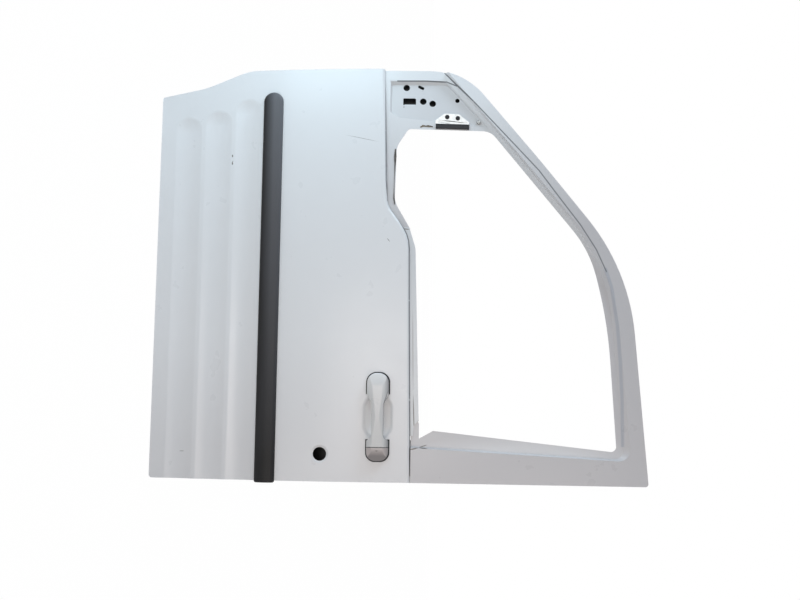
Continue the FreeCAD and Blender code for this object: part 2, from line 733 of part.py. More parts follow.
def make_handle_grip():
    grip = moulding(mirrored(GRIP_PLAN_HALF), GRIP_SIDE)
    skirt = moulding(mirrored(SKIRT_PLAN_HALF), GRIP_SIDE)
    grip = grip.fuse(skirt.common(prism(mirrored(SKIRT_PLAN_HALF), 0.0, SKIRT_TOP)))
    slot = lug_slot(LUG_ROOM, 0.0, PIVOT_W + LUG_TOP + LUG_ROOM)
    return stand(grip.cut([slot, pin_hole(PIN_R + PIN_CLEAR, PIN_HALF)]), HANDLE_H)


def make_handle_cap():
    return stand(moulding(mirrored(CAP_PLAN_HALF), CAP_SIDE), HANDLE_H)


def make_handle_gasket_front():
    half = HANDLE_HALF + GASKET_LIP
    start = HANDLE_FRONT - GASKET_LIP
    outline = mirrored([(start, half, BULB_ROUND), (BULB_END - CROWN_DROP, half)])
    return stand(prism(outline, SEAL, SEAL + GASKET).cut(lug_slot(LUG_ROOM, 0.0, REACH)), HANDLE_H)


def make_handle_gasket_rear():
    half = HANDLE_HALF + GASKET_LIP
    outline = mirrored([(FLARE_START + CROWN_DROP, half), (HANDLE_REAR + GASKET_LIP, half, CAP_ROUND)])
    return stand(prism(outline, SEAL, SEAL + GASKET), HANDLE_H)


def make_handle_carrier_front():
    """Block behind the skin with a lug that carries the grip's pin."""
    back = SHEET + SEAL
    x0, x1 = CARRIER_FRONT
    base = block(x0, x1, -CARRIER_HALF, CARRIER_HALF, -CARRIER_DEEP, -back)
    lug = lug_slot(0.0, -back, PIVOT_W)
    knuckle = Part.makeCylinder(LUG_TOP, 2 * LUG_HALF, V(PIVOT_X, -LUG_HALF, PIVOT_W), V(0, 1, 0))
    carrier = base.fuse([lug, knuckle]).cut(pin_hole(PIN_R + PIN_CLEAR, PIN_HALF))
    return stand(carrier, HANDLE_H)


def make_handle_carrier_rear():
    back = SHEET + SEAL
    x0, x1 = CARRIER_REAR
    base = block(x0, x1, -CARRIER_HALF, CARRIER_HALF, -CARRIER_DEEP, -back)
    boss = disc(CAP_BOSS_X, 0, CAP_BOSS_R, -back, 0.0)
    return stand(base.fuse(boss), HANDLE_H)


def make_handle_pin():
    return stand(pin_hole(PIN_R, PIN_HALF - SEAL), HANDLE_H)


# Walls of the box behind the skin and the inner panel
FRAME_BACK = skin_depth(FRAME_BASE) + FRAME_DEPTH / LEAN_COS
SHOULDER_TOP = FRAME_BACK - (FRAME_BASE - INNER_TOP) * LEAN_SIN / LEAN_COS + SEAL
INSIDE = [
    (-REACH, -REACH),
    (DOOR_DEPTH, -REACH),
    (DOOR_DEPTH, SHOULDER),
    (SHOULDER_TOP, INNER_TOP),
    (-REACH, INNER_TOP),
]


def make_walls():
    """Flange behind the skin's edge and the wall that runs in from it, all round."""
    face = grow(CASE_OUTLINE, -FLANGE)
    inside = grow(CASE_OUTLINE, -FLANGE - WALL)
    wall = upright(face, -REACH, 2 * DOOR_DEPTH).cut(upright(inside, -REACH, 2 * DOOR_DEPTH))
    behind_skin = pressed_body(grow(SKIN_OUTLINE, REACH), SHEET + SEAL)
    wall = wall.common(behind_skin.fuse(upright(face, REACH, 2 * DOOR_DEPTH)))
    rim = upright(grow(SKIN_OUTLINE, -HEM), -REACH, REACH).cut(upright(inside, -REACH, REACH))
    rim = rim.common(behind_skin).cut(pressed_body(grow(SKIN_OUTLINE, REACH), 2 * SHEET + SEAL))
    ring = wall.fuse(rim)
    return ring.common(profile(INSIDE, -REACH, FAR))


def wall_part(ring, x0, x1, h0, h1):
    return ring.common(block(x0, x1, -REACH, 2 * DOOR_DEPTH, h0, h1))


def hinge_bolts(centre_h):
    """Two bolt holes of one hinge, through the hinge wall."""
    levels = (centre_h - BOLT_PITCH / 2, centre_h + BOLT_PITCH / 2)
    return [wall_hole(BOLT_R, FLANGE, HINGE_DEPTH, level) for level in levels]


def make_hinge_wall(ring):
    wall = wall_part(ring, -REACH, WIDTH / 4, SILL_TOP + SEAL, CASE_TOP)
    holes = [frame_room()] + hinge_bolts(HINGE_LOW) + hinge_bolts(HINGE_HIGH)
    holes.append(plate_at(0.0, REACH, STRAP_DEPTH, HINGE_MIDDLE, STRAP_SLOT))
    for h in (HINGE_MIDDLE - STRAP_BOLT_PITCH / 2, HINGE_MIDDLE + STRAP_BOLT_PITCH / 2):
        holes.append(wall_hole(STRAP_BOLT_R, FLANGE, STRAP_DEPTH, h))
    return wall.cut(holes)


def make_sill_wall(ring):
    wall = wall_part(ring, -REACH, FAR, -REACH, SILL_TOP)
    depth = (DRAIN_DEPTH, DRAIN_DEPTH + DRAIN_SIZE[1])
    drains = [block(x, x + DRAIN_SIZE[0], depth[0], depth[1], 0.0, SILL_TOP) for x in DRAINS]
    return wall.cut(drains)


def latch_holes():
    """Latch opening with its four screw holes."""
    x = WIDTH - FLANGE
    opening = plate_at(x - REACH / 2, WIDTH, LATCH_DEPTH, LATCH_H, LATCH_OPENING)
    return [opening] + four_holes(LATCH_SCREW_R, x, LATCH_DEPTH, LATCH_H, LATCH_SPACING)


def make_latch_wall(ring):
    wall = wall_part(ring, WIDTH * 3 / 4, FAR, SILL_TOP + SEAL, CASE_TOP)
    return wall.cut(latch_holes())


def make_latch_plate():
    x1 = WIDTH - FLANGE - WALL - SEAL
    return plate_at(x1 - PLATE / 2, x1, LATCH_DEPTH, LATCH_H, LATCH_PLATE).cut(latch_holes())


def make_hinge_plate(centre_h):
    """Thick plate behind the hinge wall, which the hinge bolts clamp."""
    x0 = FLANGE + WALL + SEAL
    plate = plate_at(x0, x0 + PLATE, HINGE_DEPTH, centre_h, HINGE_PLATE)
    return plate.cut(hinge_bolts(centre_h))


def make_inner_panel():
    """Inside sheet: upright below, leaning in to the window frame above, with its openings."""
    lap = DOOR_DEPTH + SEAL
    top = SHOULDER_TOP + SEAL
    outer = [(lap, -REACH), (lap, SHOULDER), (top, INNER_TOP)]
    inner = [(top + SHEET, INNER_TOP), (lap + SHEET, SHOULDER), (lap + SHEET, -REACH)]
    sheet = profile(outer + inner, 0.0, WIDTH)
    sheet = sheet.common(upright(grow(CASE_OUTLINE, -FLANGE + INNER_LIP), -REACH, 2 * DOOR_DEPTH))
    depth = (lap - SHEET, lap + REACH)
    holes = [upright(framed(*hole), *depth) for hole in (SERVICE_HOLE, LATCH_ACCESS, LOWER_HOLE)]
    holes.append(stand(disc(SPEAKER[0], SPEAKER[1], SPEAKER[2], -depth[1], -depth[0])))
    dip = [
        (LEG_EDGE, CASE_TOP),
        (LEG_EDGE, BELT_DIP, DIP_ROUND_LOW / 2),
        (DIP_START, BELT_DIP, DIP_ROUND_LOW),
        (DIP_END, BELT_MIDDLE),
        (DIP_END, CASE_TOP),
    ]
    holes.append(upright(dip, -REACH, 2 * DOOR_DEPTH))
    return sheet.cut(holes)


def make_waist_rail_inner():
    """Stiff strip on the outer side of the inner panel's top edge."""
    low_h = INNER_TOP - WAIST_INNER_HEIGHT
    gap = SHOULDER_TOP - DOOR_DEPTH
    depth_low = DOOR_DEPTH + gap * (low_h - SHOULDER) / (INNER_TOP - SHOULDER)
    section = [
        (depth_low - WALL, low_h),
        (depth_low, low_h),
        (SHOULDER_TOP, INNER_TOP),
        (SHOULDER_TOP - WALL, INNER_TOP),
    ]
    return profile(section, WAIST_INNER_X[0], WAIST_INNER_X[1])


def make_beam():
    length = BEAM_X[1] - BEAM_X[0]
    start = V(BEAM_X[0], BEAM_DEPTH, BEAM_H)
    tube = Part.makeCylinder(BEAM_R, length, start, V(1, 0, 0))
    return tube.cut(Part.makeCylinder(BEAM_R - BEAM_WALL, length, start, V(1, 0, 0)))


def make_beam_end(x_wall, x_beam):
    """Bracket from a wall to the beam's end: a flat tongue over the tube and a foot on the wall."""
    thick = 2 * SHEET
    low = BEAM_H - BEAM_R
    high = BEAM_H + BEAM_R
    depth0 = BEAM_DEPTH + BEAM_R + SEAL
    depth1 = depth0 + thick
    tongue = block(min(x_wall, x_beam), max(x_wall, x_beam), depth0, depth1, low, high)
    foot_x = x_wall if x_wall < x_beam else x_wall - thick
    return tongue.fuse(block(foot_x, foot_x + thick, depth0 - 2 * BEAM_R, depth1, low, high))


def write_all():
    os.makedirs("parts", exist_ok=True)
    save("outer_skin", make_outer_skin())
    save("rub_strip", make_rub_strip())
    save("window_frame_outer", make_window_frame_outer())
    save("window_frame_inner", make_window_frame_inner())
    save("sail_panel", make_sail_panel())
    save("waist_rail_outer", make_waist_rail_outer())
    save("waist_rail_inner", make_waist_rail_inner())
    save("mirror_bracket", make_mirror_bracket())
    save("bracket_pad", make_bracket_pad())
    save("handle_grip", make_handle_grip())
    save("handle_cap", make_handle_cap())
    save("handle_gasket_front", make_handle_gasket_front())
    save("handle_gasket_rear", make_handle_gasket_rear())
    save("handle_carrier_front", make_handle_carrier_front())
    save("handle_carrier_rear", make_handle_carrier_rear())
    save("handle_pin", make_handle_pin())
    ring = make_walls()
    save("hinge_wall", make_hinge_wall(ring))
    save("sill_wall", make_sill_wall(ring))
    save("latch_wall", make_latch_wall(ring))
    save("hinge_plate_upper", make_hinge_plate(HINGE_HIGH))
    save("hinge_plate_lower", make_hinge_plate(HINGE_LOW))
    save("latch_plate", make_latch_plate())
    save("inner_panel", make_inner_panel())
    save("side_beam", make_beam())
    save("beam_end_front", make_beam_end(BEAM_WALL_FRONT, BEAM_X[0] + BEAM_LAP))
    save("beam_end_rear", make_beam_end(BEAM_WALL_REAR, BEAM_X[1] - BEAM_LAP))


write_all()
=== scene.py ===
# %% [markdown]
# # A van's front door, dressed for the picture
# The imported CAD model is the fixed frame: every sheet, rail and bracket is already in place and in metres.
# This lesson gives each of them its finish, adds the small pieces that a press shop or a fitter adds,
# and sets a camera and soft light like the photograph's.

# %% Load the frame and keep its box
import bpy
import math
from mathutils import Matrix, Vector


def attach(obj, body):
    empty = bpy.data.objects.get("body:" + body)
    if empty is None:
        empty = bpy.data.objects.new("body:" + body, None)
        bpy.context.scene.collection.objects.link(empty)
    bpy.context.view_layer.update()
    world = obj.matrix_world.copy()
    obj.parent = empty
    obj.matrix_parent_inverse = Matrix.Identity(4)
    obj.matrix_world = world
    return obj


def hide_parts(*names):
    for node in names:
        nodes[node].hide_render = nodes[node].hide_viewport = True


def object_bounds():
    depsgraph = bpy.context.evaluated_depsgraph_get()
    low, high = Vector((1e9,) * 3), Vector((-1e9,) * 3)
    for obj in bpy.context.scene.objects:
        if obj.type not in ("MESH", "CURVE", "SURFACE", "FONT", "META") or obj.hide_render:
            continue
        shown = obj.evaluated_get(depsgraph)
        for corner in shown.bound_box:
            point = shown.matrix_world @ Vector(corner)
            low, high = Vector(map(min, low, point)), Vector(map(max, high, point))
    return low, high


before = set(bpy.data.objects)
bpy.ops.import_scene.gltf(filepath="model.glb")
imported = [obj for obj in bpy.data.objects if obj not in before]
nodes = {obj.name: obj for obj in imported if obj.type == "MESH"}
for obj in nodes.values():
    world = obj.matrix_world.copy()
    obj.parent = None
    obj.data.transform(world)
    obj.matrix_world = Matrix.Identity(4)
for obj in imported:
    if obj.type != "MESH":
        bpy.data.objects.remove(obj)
cad_box = [list(corner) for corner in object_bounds()]
bpy.ops.object.select_all(action="DESELECT")
print("CAD nodes:", len(nodes), "box:", cad_box)

# %% [markdown]
# ## The door's own measures
# A door is drawn from its front lower corner: x runs back from the front edge, h runs up from the lower
# edge, and depth runs in from the widest point of the skin. The frame's origin is on the hinge face, so one
# function turns the drawing's millimetres into the frame's metres. The skin is a slice of a large barrel,
# and the window frame leans along that barrel's tangent, which gives each small piece its seat.

# %% Measures and seats
MM = 0.001
HINGE_PLACE = Vector((14.0, 56.0, 481.0))
BARREL_RADIUS = 3500.0
WIDEST_H = 260.0
FRAME_BASE_H = 708.0


def skin_depth(h):
    """Depth of the skin at h, in mm."""
    return BARREL_RADIUS - math.sqrt(BARREL_RADIUS ** 2 - (h - WIDEST_H) ** 2)


def lean_at(h):
    """Angle by which the skin leans back at h."""
    return math.asin((h - WIDEST_H) / BARREL_RADIUS)


def seat(x, up, level, h):
    """Place on the skin's slope at h: x along the door, y up the slope, z outwards, in metres."""
    turn = Matrix.Rotation(math.pi / 2 - lean_at(h), 4, "X")
    foot = (Vector((0.0, skin_depth(h), h)) - HINGE_PLACE) * MM
    return Matrix.Translation(foot) @ turn @ Matrix.Translation(Vector((x, up, level)) * MM)


print("lean of the window frame:", round(math.degrees(lean_at(FRAME_BASE_H)), 2), "degrees")

# %% [markdown]
# ## Camera
# The picture shows the door lying on its side, so the camera is rolled until the door's front edge is up.
# Its place was found by making the door's straight edges straight and square in the picture.

# %% Camera
CAMERA_PLACE = Vector((896.8, -2562.0, 559.2)) * MM
CAMERA_AIM = Vector((622.0, 0.0, 194.6)) * MM
CAMERA_ROLL = math.radians(0.7)
LENS_MM = 43.2
SENSOR_MM = 36.0
NEAR_CLIP = 0.05
TO_DOOR_FRONT = Vector((-1.0, 0.0, 0.0))

forward = (CAMERA_AIM - CAMERA_PLACE).normalized()
right = forward.cross(TO_DOOR_FRONT).normalized()
turn = Matrix((right, right.cross(forward), -forward)).transposed().to_4x4()
bpy.ops.object.camera_add()
camera = bpy.context.object
camera.matrix_world = Matrix.Translation(CAMERA_PLACE) @ turn @ Matrix.Rotation(CAMERA_ROLL, 4, "Z")
camera.data.lens = LENS_MM
camera.data.sensor_width = SENSOR_MM
camera.data.clip_start = NEAR_CLIP
bpy.context.scene.camera = camera
bpy.context.scene.view_settings.view_transform = "Standard"
print("camera distance:", round((CAMERA_AIM - CAMERA_PLACE).length, 3), "m")

# %% [markdown]
# ## Colours and nodes
# Colours are written as the hex values that a paint chart would give. Blender mixes light in linear values,
# so one function turns them. A second small function adds a shader node with its settings and its links.

# %% Colour and node helpers


def colour(code):
    """Linear colour from an sRGB hex value."""
    values = []
    for k in (0, 2, 4):
        c = int(code[k:k + 2], 16) / 255.0
        values.append(c / 12.92 if c <= 0.04045 else ((c + 0.055) / 1.055) ** 2.4)
    return (*values, 1.0)


def add_node(tree, kind, feeds=None, **settings):
    """Add a node, set its properties, and feed its inputs with values or other nodes' sockets."""
    node = tree.nodes.new(kind)
    for name, value in settings.items():
        setattr(node, name, value)
    for name, value in (feeds or {}).items():
        if isinstance(value, bpy.types.NodeSocket):
            tree.links.new(value, node.inputs[name])
        else:
            node.inputs[name].default_value = value
    return node


def new_material(name):
    """Empty node material."""
    material = bpy.data.materials.new(name)
    material.use_nodes = True
    material.node_tree.nodes.clear()
    return material, material.node_tree


def seen_directly(tree):
    """1 for what the camera, a gloss or a clear piece sees, 0 for light that falls on a surface."""
    path = add_node(tree, "ShaderNodeLightPath")
    seen = add_node(tree, "ShaderNodeMath", {
        0: path.outputs["Is Camera Ray"], 1: path.outputs["Is Glossy Ray"],
    }, operation="MAXIMUM")
    return add_node(tree, "ShaderNodeMath", {
        0: seen.outputs[0], 1: path.outputs["Is Transmission Ray"],
    }, operation="MAXIMUM")


print("white is", [round(c, 3) for c in colour("FFFFFF")])

# %% [markdown]
# ## Stage and light
# The photograph is a cut-out on white, lit softly from beyond the door's front edge. A white room alone
# could light it, but then the flutes and the bowl would look flat. So the floor and the world show white
# only to the camera and in gloss, the room gives a low even light, and six lamps shape the rest: a cool one
# that grazes the skin, two more that make the front bright and bluish, two warmer ones for the rear, and a
# fill from the camera's side.

# %% World
ROOM_LIGHT = 0.28
world = bpy.data.worlds.new("white_room")
bpy.context.scene.world = world
world.use_nodes = True
tree = world.node_tree
tree.nodes.clear()
seen = seen_directly(tree)
lit = add_node(tree, "ShaderNodeBackground", {"Color": colour("F9FBFF"), "Strength": ROOM_LIGHT})
shown = add_node(tree, "ShaderNodeBackground", {"Color": colour("FFFFFF"), "Strength": 1.0})
mixed = add_node(tree, "ShaderNodeMixShader", {0: seen.outputs[0], 1: lit.outputs[0], 2: shown.outputs[0]})
add_node(tree, "ShaderNodeOutputWorld", {"Surface": mixed.outputs[0]})
print("room light:", ROOM_LIGHT)

# %% Floor
FLOOR_SIZE = 14.0
FLOOR_MIDDLE_X = 0.5
FLOOR_GAP = 0.0005
FLOOR_WHITE = 0.992
floor_level = cad_box[0][2] - FLOOR_GAP
bpy.ops.mesh.primitive_plane_add(size=FLOOR_SIZE, location=(FLOOR_MIDDLE_X, 0.0, floor_level))
floor = bpy.context.object
floor.name = "floor"
# A matt painted floor: pale, with no gloss, and white to the camera
material, tree = new_material("pale_floor")
seen = seen_directly(tree)
share = add_node(tree, "ShaderNodeMath", {0: seen.outputs[0], 1: FLOOR_WHITE}, operation="MULTIPLY")
matt = add_node(tree, "ShaderNodeBsdfDiffuse", {"Color": colour("F2F2F2")})
glow = add_node(tree, "ShaderNodeEmission", {"Color": colour("FFFFFF"), "Strength": 1.0})
mixed = add_node(tree, "ShaderNodeMixShader", {0: share.outputs[0], 1: matt.outputs[0], 2: glow.outputs[0]})
add_node(tree, "ShaderNodeOutputMaterial", {"Surface": mixed.outputs[0]})
# Only rays that see the floor directly meet the glow, so it needn't be sampled as a lamp
material.cycles.emission_sampling = "NONE"
floor.data.materials.append(material)
print("floor at", round(floor.location.z, 4))

# %% Lamps
# Each lamp has a place, an aim, a size in metres, a power in watts and a tint
LAMPS = {
    "grazing_key": ((-2.4, -0.9, 2.3), (0.4, 0.0, -0.1), 0.8, 58.0, "DCEEFF"),
    "near_front": ((-0.33, -0.55, 0.0), (0.06, 0.0, 0.06), 0.5, 2.1, "D2F2FF"),
    "front_fill": ((-2.0, -2.0, 0.3), (0.3, 0.0, 0.0), 1.5, 5.0, "E6F4FF"),
    "rear_fill": ((1.5, -1.5, -0.5), (0.9, 0.0, -0.1), 1.0, 4.2, "FFF0E4"),
    "rear_near": ((1.5, -0.8, 0.75), (1.0, 0.0, 0.4), 0.5, 1.8, "FFF2EA"),
    "camera_fill": ((0.8, -2.7, 0.3), (0.7, 0.0, 0.0), 0.9, 8.8, "FFF4EC"),
}
for name, (place, aim, size, watts, tint) in LAMPS.items():
    bpy.ops.object.light_add(type="AREA", location=place)
    lamp = bpy.context.object
    lamp.name = name
    lamp.rotation_mode = "QUATERNION"
    lamp.rotation_quaternion = (Vector(aim) - Vector(place)).to_track_quat("-Z", "Y")
    lamp.data.size = size
    lamp.data.energy = watts
    lamp.data.color = colour(tint)[:3]
print("lamps:", ", ".join(LAMPS))

# %% [markdown]
# ## Gloss white paint
# A van door is pressed steel, dipped in dark primer and sprayed white on the faces that show. Sprayed
# enamel dries with a faint ripple, called orange peel, and a used panel has a thin dull film, specks and
# scratches. The marks could be painted by hand on an unwrapped mesh. Here each is worked out from the door's
# own coordinates, because a CAD sheet has no unwrapping, and its marks then stay where they were measured.
# Faces that look into the door's hollow keep the primer: their normal tells them apart, so holes look dark
# from outside, as they do on the real door.

# %% Scratches and chips
# Each line has two points (x, h) and a width, in mm
SKIN_LINES = [
    ((235.5, 211.0), (244.5, 211.0), 4.5),
    ((255.5, 211.0), (266.5, 211.5), 4.5),
    ((253.0, 212.5), (258.0, 212.0), 2.0),
    ((185.4, 521.9), (206.3, 621.9), 1.2),
    ((471.3, 643.1), (482.2, 651.3), 2.0),
    ((1049.6, 82.8), (1049.2, 100.0), 1.6),
]
DIP_MARK = ((443.5, 681.0), (446.0, 704.0), 3.2)
FRAME_LINES = [
    ((1037.0, 706.0), (1030.0, 734.0), 4.6),
    ((1030.5, 731.0), (1022.5, 756.0), 3.2),
    ((1030.0, 731.0), (1033.2, 759.0), 2.8),
    ((100.0, 682.0), (106.0, 682.0), 2.4),
    DIP_MARK,
]
WAIST_LINES = [
    DIP_MARK,
    ((640.0, 712.6), (905.0, 716.3), 1.6),
    ((880.0, 715.8), (1006.0, 720.5), 3.2),
    ((979.0, 719.4), (955.0, 733.6), 1.8),
]
LINE_CORE = 0.5
LINE_END = 0.96


def worn_lines(tree, place, lines, pointed=True):
    """Mask of lines on the door: thin ellipses where pointed, or else even bars, with soft edges."""
    mask = None
    for (x0, h0), (x1, h1), width in lines:
        middle = Vector(((x0 + x1) / 2, HINGE_PLACE.y, (h0 + h1) / 2)) - HINGE_PLACE
        half = math.hypot(x1 - x0, h1 - h0) / 2
        mapped = add_node(tree, "ShaderNodeMapping", {
            "Vector": place,
            "Location": middle * MM,
            "Rotation": (0.0, -math.atan2(h1 - h0, x1 - x0), 0.0),
            "Scale": (half * MM, 1.0, width / 2 * MM),
        }, vector_type="TEXTURE")
        if pointed:
            off = add_node(tree, "ShaderNodeVectorMath", {0: mapped.outputs[0]}, operation="LENGTH")
            inside = add_node(tree, "ShaderNodeMapRange", {
                "Value": off.outputs["Value"], "From Min": 1.0, "From Max": LINE_CORE,
            })
        else:
            off = add_node(tree, "ShaderNodeVectorMath", {0: mapped.outputs[0]}, operation="ABSOLUTE")
            axes = add_node(tree, "ShaderNodeSeparateXYZ", {0: off.outputs[0]})
            along = add_node(tree, "ShaderNodeMapRange", {
                "Value": axes.outputs["X"], "From Min": 1.0, "From Max": LINE_END,
            })
            across = add_node(tree, "ShaderNodeMapRange", {
                "Value": axes.outputs["Z"], "From Min": 1.0, "From Max": LINE_CORE,
            })
            inside = add_node(tree, "ShaderNodeMath", {
                0: along.outputs[0], 1: across.outputs[0],
            }, operation="MULTIPLY")
        if mask is None:
            mask = inside.outputs[0]
        else:
            both = add_node(tree, "ShaderNodeMath", {0: mask, 1: inside.outputs[0]}, operation="MAXIMUM")
            mask = both.outputs[0]
    return mask


print("scratches and chips:", len(SKIN_LINES) + len(FRAME_LINES) + len(WAIST_LINES) - 1)

# %% [markdown]
# ## Painted shade and light in the paint
# A used door isn't one white. Here painted shadow lines darken the grooves between sheets, painted shade
# darkens the handle's faces that look up and back, the rear of the door is painted darker than the front as
# shade, and the finger bowl and the sunk band of the window frame are painted lighter against their shade.
# Each could be a layer of its own mesh, but a tone has no thickness, so each is a mask that mixes one more
# tone into the paint.

# %% Layers of painted shade and light


def shaded_rearwards(tree, where, paint, front, rear, tone):
    """Paint painted darker from one x to another, in metres, as shade that deepens towards the rear."""
    axes = add_node(tree, "ShaderNodeSeparateXYZ", {0: where.outputs["Object"]})
    share = add_node(tree, "ShaderNodeMapRange", {
        "Value": axes.outputs["X"], "From Min": front, "From Max": rear,
    })
    mixed = add_node(tree, "ShaderNodeMix", {
        0: share.outputs[0], 6: paint, 7: colour(tone),
    }, data_type="RGBA")
    return mixed.outputs[2]


def facing_side(tree, where, paint, side, low, high, most, tone):
    """Paint with another tone on the faces that look to one side."""
    facing = add_node(tree, "ShaderNodeVectorMath", {
        0: where.outputs["Normal"], 1: side,
    }, operation="DOT_PRODUCT")
    share = add_node(tree, "ShaderNodeMapRange", {
        "Value": facing.outputs["Value"], "From Min": low, "From Max": high, "To Max": most,
    })
    mixed = add_node(tree, "ShaderNodeMix", {
        0: share.outputs[0], 6: paint, 7: colour(tone),
    }, data_type="RGBA")
    return mixed.outputs[2]


def lit_where_sunk(tree, where, paint, areas, h, rim, bed, tone):
    """Paint painted lighter against shade in some areas where the sheet at h is sunk, fully so from bed on,
    in mm.
    """
    place = where.outputs["Object"]
    lean = lean_at(h)
    inward = Vector((0.0, math.cos(lean), -math.sin(lean)))
    level = inward.dot(seat(0.0, 0.0, 0.0, h).translation)
    depth = add_node(tree, "ShaderNodeVectorMath", {0: place, 1: inward}, operation="DOT_PRODUCT")
    sunk = add_node(tree, "ShaderNodeMapRange", {
        "Value": depth.outputs["Value"], "From Min": level + rim * MM, "From Max": level + bed * MM,
    })
    share = add_node(tree, "ShaderNodeMath", {
        0: worn_lines(tree, place, areas), 1: sunk.outputs[0],
    }, operation="MULTIPLY")
    mixed = add_node(tree, "ShaderNodeMix", {
        0: share.outputs[0], 6: paint, 7: colour(tone),
    }, data_type="RGBA")
    return mixed.outputs[2]


def groove_shadow_line(tree, where, paint, lines, tone):
    """Paint with painted shadow along even lines."""
    share = worn_lines(tree, where.outputs["Object"], lines, pointed=False)
    mixed = add_node(tree, "ShaderNodeMix", {0: share, 6: paint, 7: colour(tone)}, data_type="RGBA")
    return mixed.outputs[2]


# These layers paint shade and light into the enamel
print("layers of dirt:", [step.__name__ for step in (shaded_rearwards, facing_side, lit_where_sunk, groove_shadow_line)])

# %% Sprayed enamel
PAINT_WHITE = "E4E6E8"
PAINT_FILM = "CFCFCC"
PAINT_WORN = "6B6763"
PRIMER_DARK = "141517"
# Painted shade for the handle's faces that look up or back
SIDE_SHADE = "5A5B5F"
# Real orange peel is 2 to 3 mm, which is about one pixel at this distance, so it is coarsened
PEEL_MM = 9.0
PEEL_BUMP = 0.02
BUMP_DEPTH = 0.0003
FILM_MM = 55.0
FILM_LOW = 0.3
FILM_HIGH = 0.8
FILM_SHARE = 0.05
ENAMEL_ROUGH = (0.27, 0.34)
ENAMEL_IOR = 1.5
COAT = 0.3
COAT_ROUGH = 0.2
SPECK_SPACING_MM = 70.0
SPECK_RADIUS_MM = 0.9
SPECK_CORE = 0.4
SPECK_SHARE = 0.45
HOLLOW_LOW = 0.3
HOLLOW_HIGH = 0.5


def worn_enamel(tree, place, paint, lines, specks):
    """Paint with specks of dirt, and scratched or chipped along some lines."""
    cells = add_node(tree, "ShaderNodeTexVoronoi", {
        "Vector": place, "Scale": 1.0 / (SPECK_SPACING_MM * MM),
    })
    edge = SPECK_RADIUS_MM / SPECK_SPACING_MM
    speck = add_node(tree, "ShaderNodeMapRange", {
        "Value": cells.outputs["Distance"], "From Min": edge, "From Max": SPECK_CORE * edge,
        "To Max": specks,
    })
    worn = speck.outputs[0]
    if lines:
        scratched = worn_lines(tree, place, lines)
        worn = add_node(tree, "ShaderNodeMath", {0: worn, 1: scratched}, operation="MAXIMUM").outputs[0]
    mixed = add_node(tree, "ShaderNodeMix", {0: worn, 6: paint, 7: colour(PAINT_WORN)}, data_type="RGBA")
    return mixed.outputs[2]


# Sprayed enamel: a clean gloss with soft, faintly rippled reflections, over a primer that looks dark
def gloss_paint(name, lines=(), hollow=None, white=PAINT_WHITE, sunk_light=None, specks=SPECK_SHARE, grooves=(),
                rear_shade=None, side_shade=()):
    """White enamel over primer: hollow is the direction in which its unseen faces look."""
    material, tree = new_material(name)
    where = add_node(tree, "ShaderNodeTexCoord")
    place = where.outputs["Object"]
    film = add_node(tree, "ShaderNodeTexNoise", {
        "Vector": place, "Scale": 1.0 / (FILM_MM * MM), "Detail": 4.0,
    })
    dull = add_node(tree, "ShaderNodeMapRange", {
        "Value": film.outputs[0], "From Min": FILM_LOW, "From Max": FILM_HIGH, "To Max": FILM_SHARE,
    })
    paint = add_node(tree, "ShaderNodeMix", {
        0: dull.outputs[0], 6: colour(white), 7: colour(PAINT_FILM),
    }, data_type="RGBA").outputs[2]
    # Painted shade, darker towards the rear
    if rear_shade:
        paint = shaded_rearwards(tree, where, paint, *rear_shade)
    # Painted shade on faces that look to given sides
    for side in side_shade:
        paint = facing_side(tree, where, paint, *side, SIDE_SHADE)
    # Painted light in sunk places, against their shade
    if sunk_light:
        paint = lit_where_sunk(tree, where, paint, *sunk_light)
    # Painted shadow lines along the grooves
    for run, tone in grooves:
        paint = groove_shadow_line(tree, where, paint, run, tone)
    paint = worn_enamel(tree, place, paint, lines, specks)
    if hollow:
        paint = facing_side(tree, where, paint, hollow, HOLLOW_LOW, HOLLOW_HIGH, 1.0, PRIMER_DARK)
    rough = add_node(tree, "ShaderNodeMapRange", {
        "Value": film.outputs[0], "From Min": FILM_LOW, "From Max": FILM_HIGH,
        "To Min": ENAMEL_ROUGH[0], "To Max": ENAMEL_ROUGH[1],
    })
    peel = add_node(tree, "ShaderNodeTexNoise", {
        "Vector": place, "Scale": 1.0 / (PEEL_MM * MM), "Detail": 1.0,
    })
    ripple = add_node(tree, "ShaderNodeBump", {
        "Height": peel.outputs[0], "Strength": PEEL_BUMP, "Distance": BUMP_DEPTH,
    })
    shader = add_node(tree, "ShaderNodeBsdfPrincipled", {
        "Base Color": paint, "Roughness": rough.outputs[0], "Normal": ripple.outputs[0],
        "IOR": ENAMEL_IOR, "Coat Weight": COAT, "Coat Roughness": COAT_ROUGH,
    })
    add_node(tree, "ShaderNodeOutputMaterial", {"Surface": shader.outputs[0]})
    return material


print("ripple every", PEEL_MM, "mm, film about", FILM_MM, "mm across")

# %% Runs of the grooves
# Points (x, h) along the grooves between the sheets, in mm
GROOVE_RUN = [(7.7, 793.0), (89.7, 872.7), (226.8, 999.4), (281.9, 1050.0), (358.8, 1106.5),
              (429.7, 1159.6), (497.5, 1201.7), (557.0, 1227.8)]
TOP_RUN = [(548.0, 1225.0), (598.8, 1241.1), (699.5, 1255.3), (799.4, 1262.1), (898.5, 1265.6),
           (1021.7, 1265.9)]
POCKET_RUN = [(30.7, 664.0), (30.2, 740.9), (32.6, 798.3), (43.7, 825.7)]
BELT_RUN = [(17.9, 632.9), (172.8, 635.5), (312.0, 638.2), (367.2, 643.0), (391.9, 654.1), (419.2, 671.9),
            (446.5, 688.4), (460.0, 695.0), (477.0, 700.0), (500.0, 702.2), (639.0, 703.8), (905.4, 707.4),
            (1105.0, 711.0)]
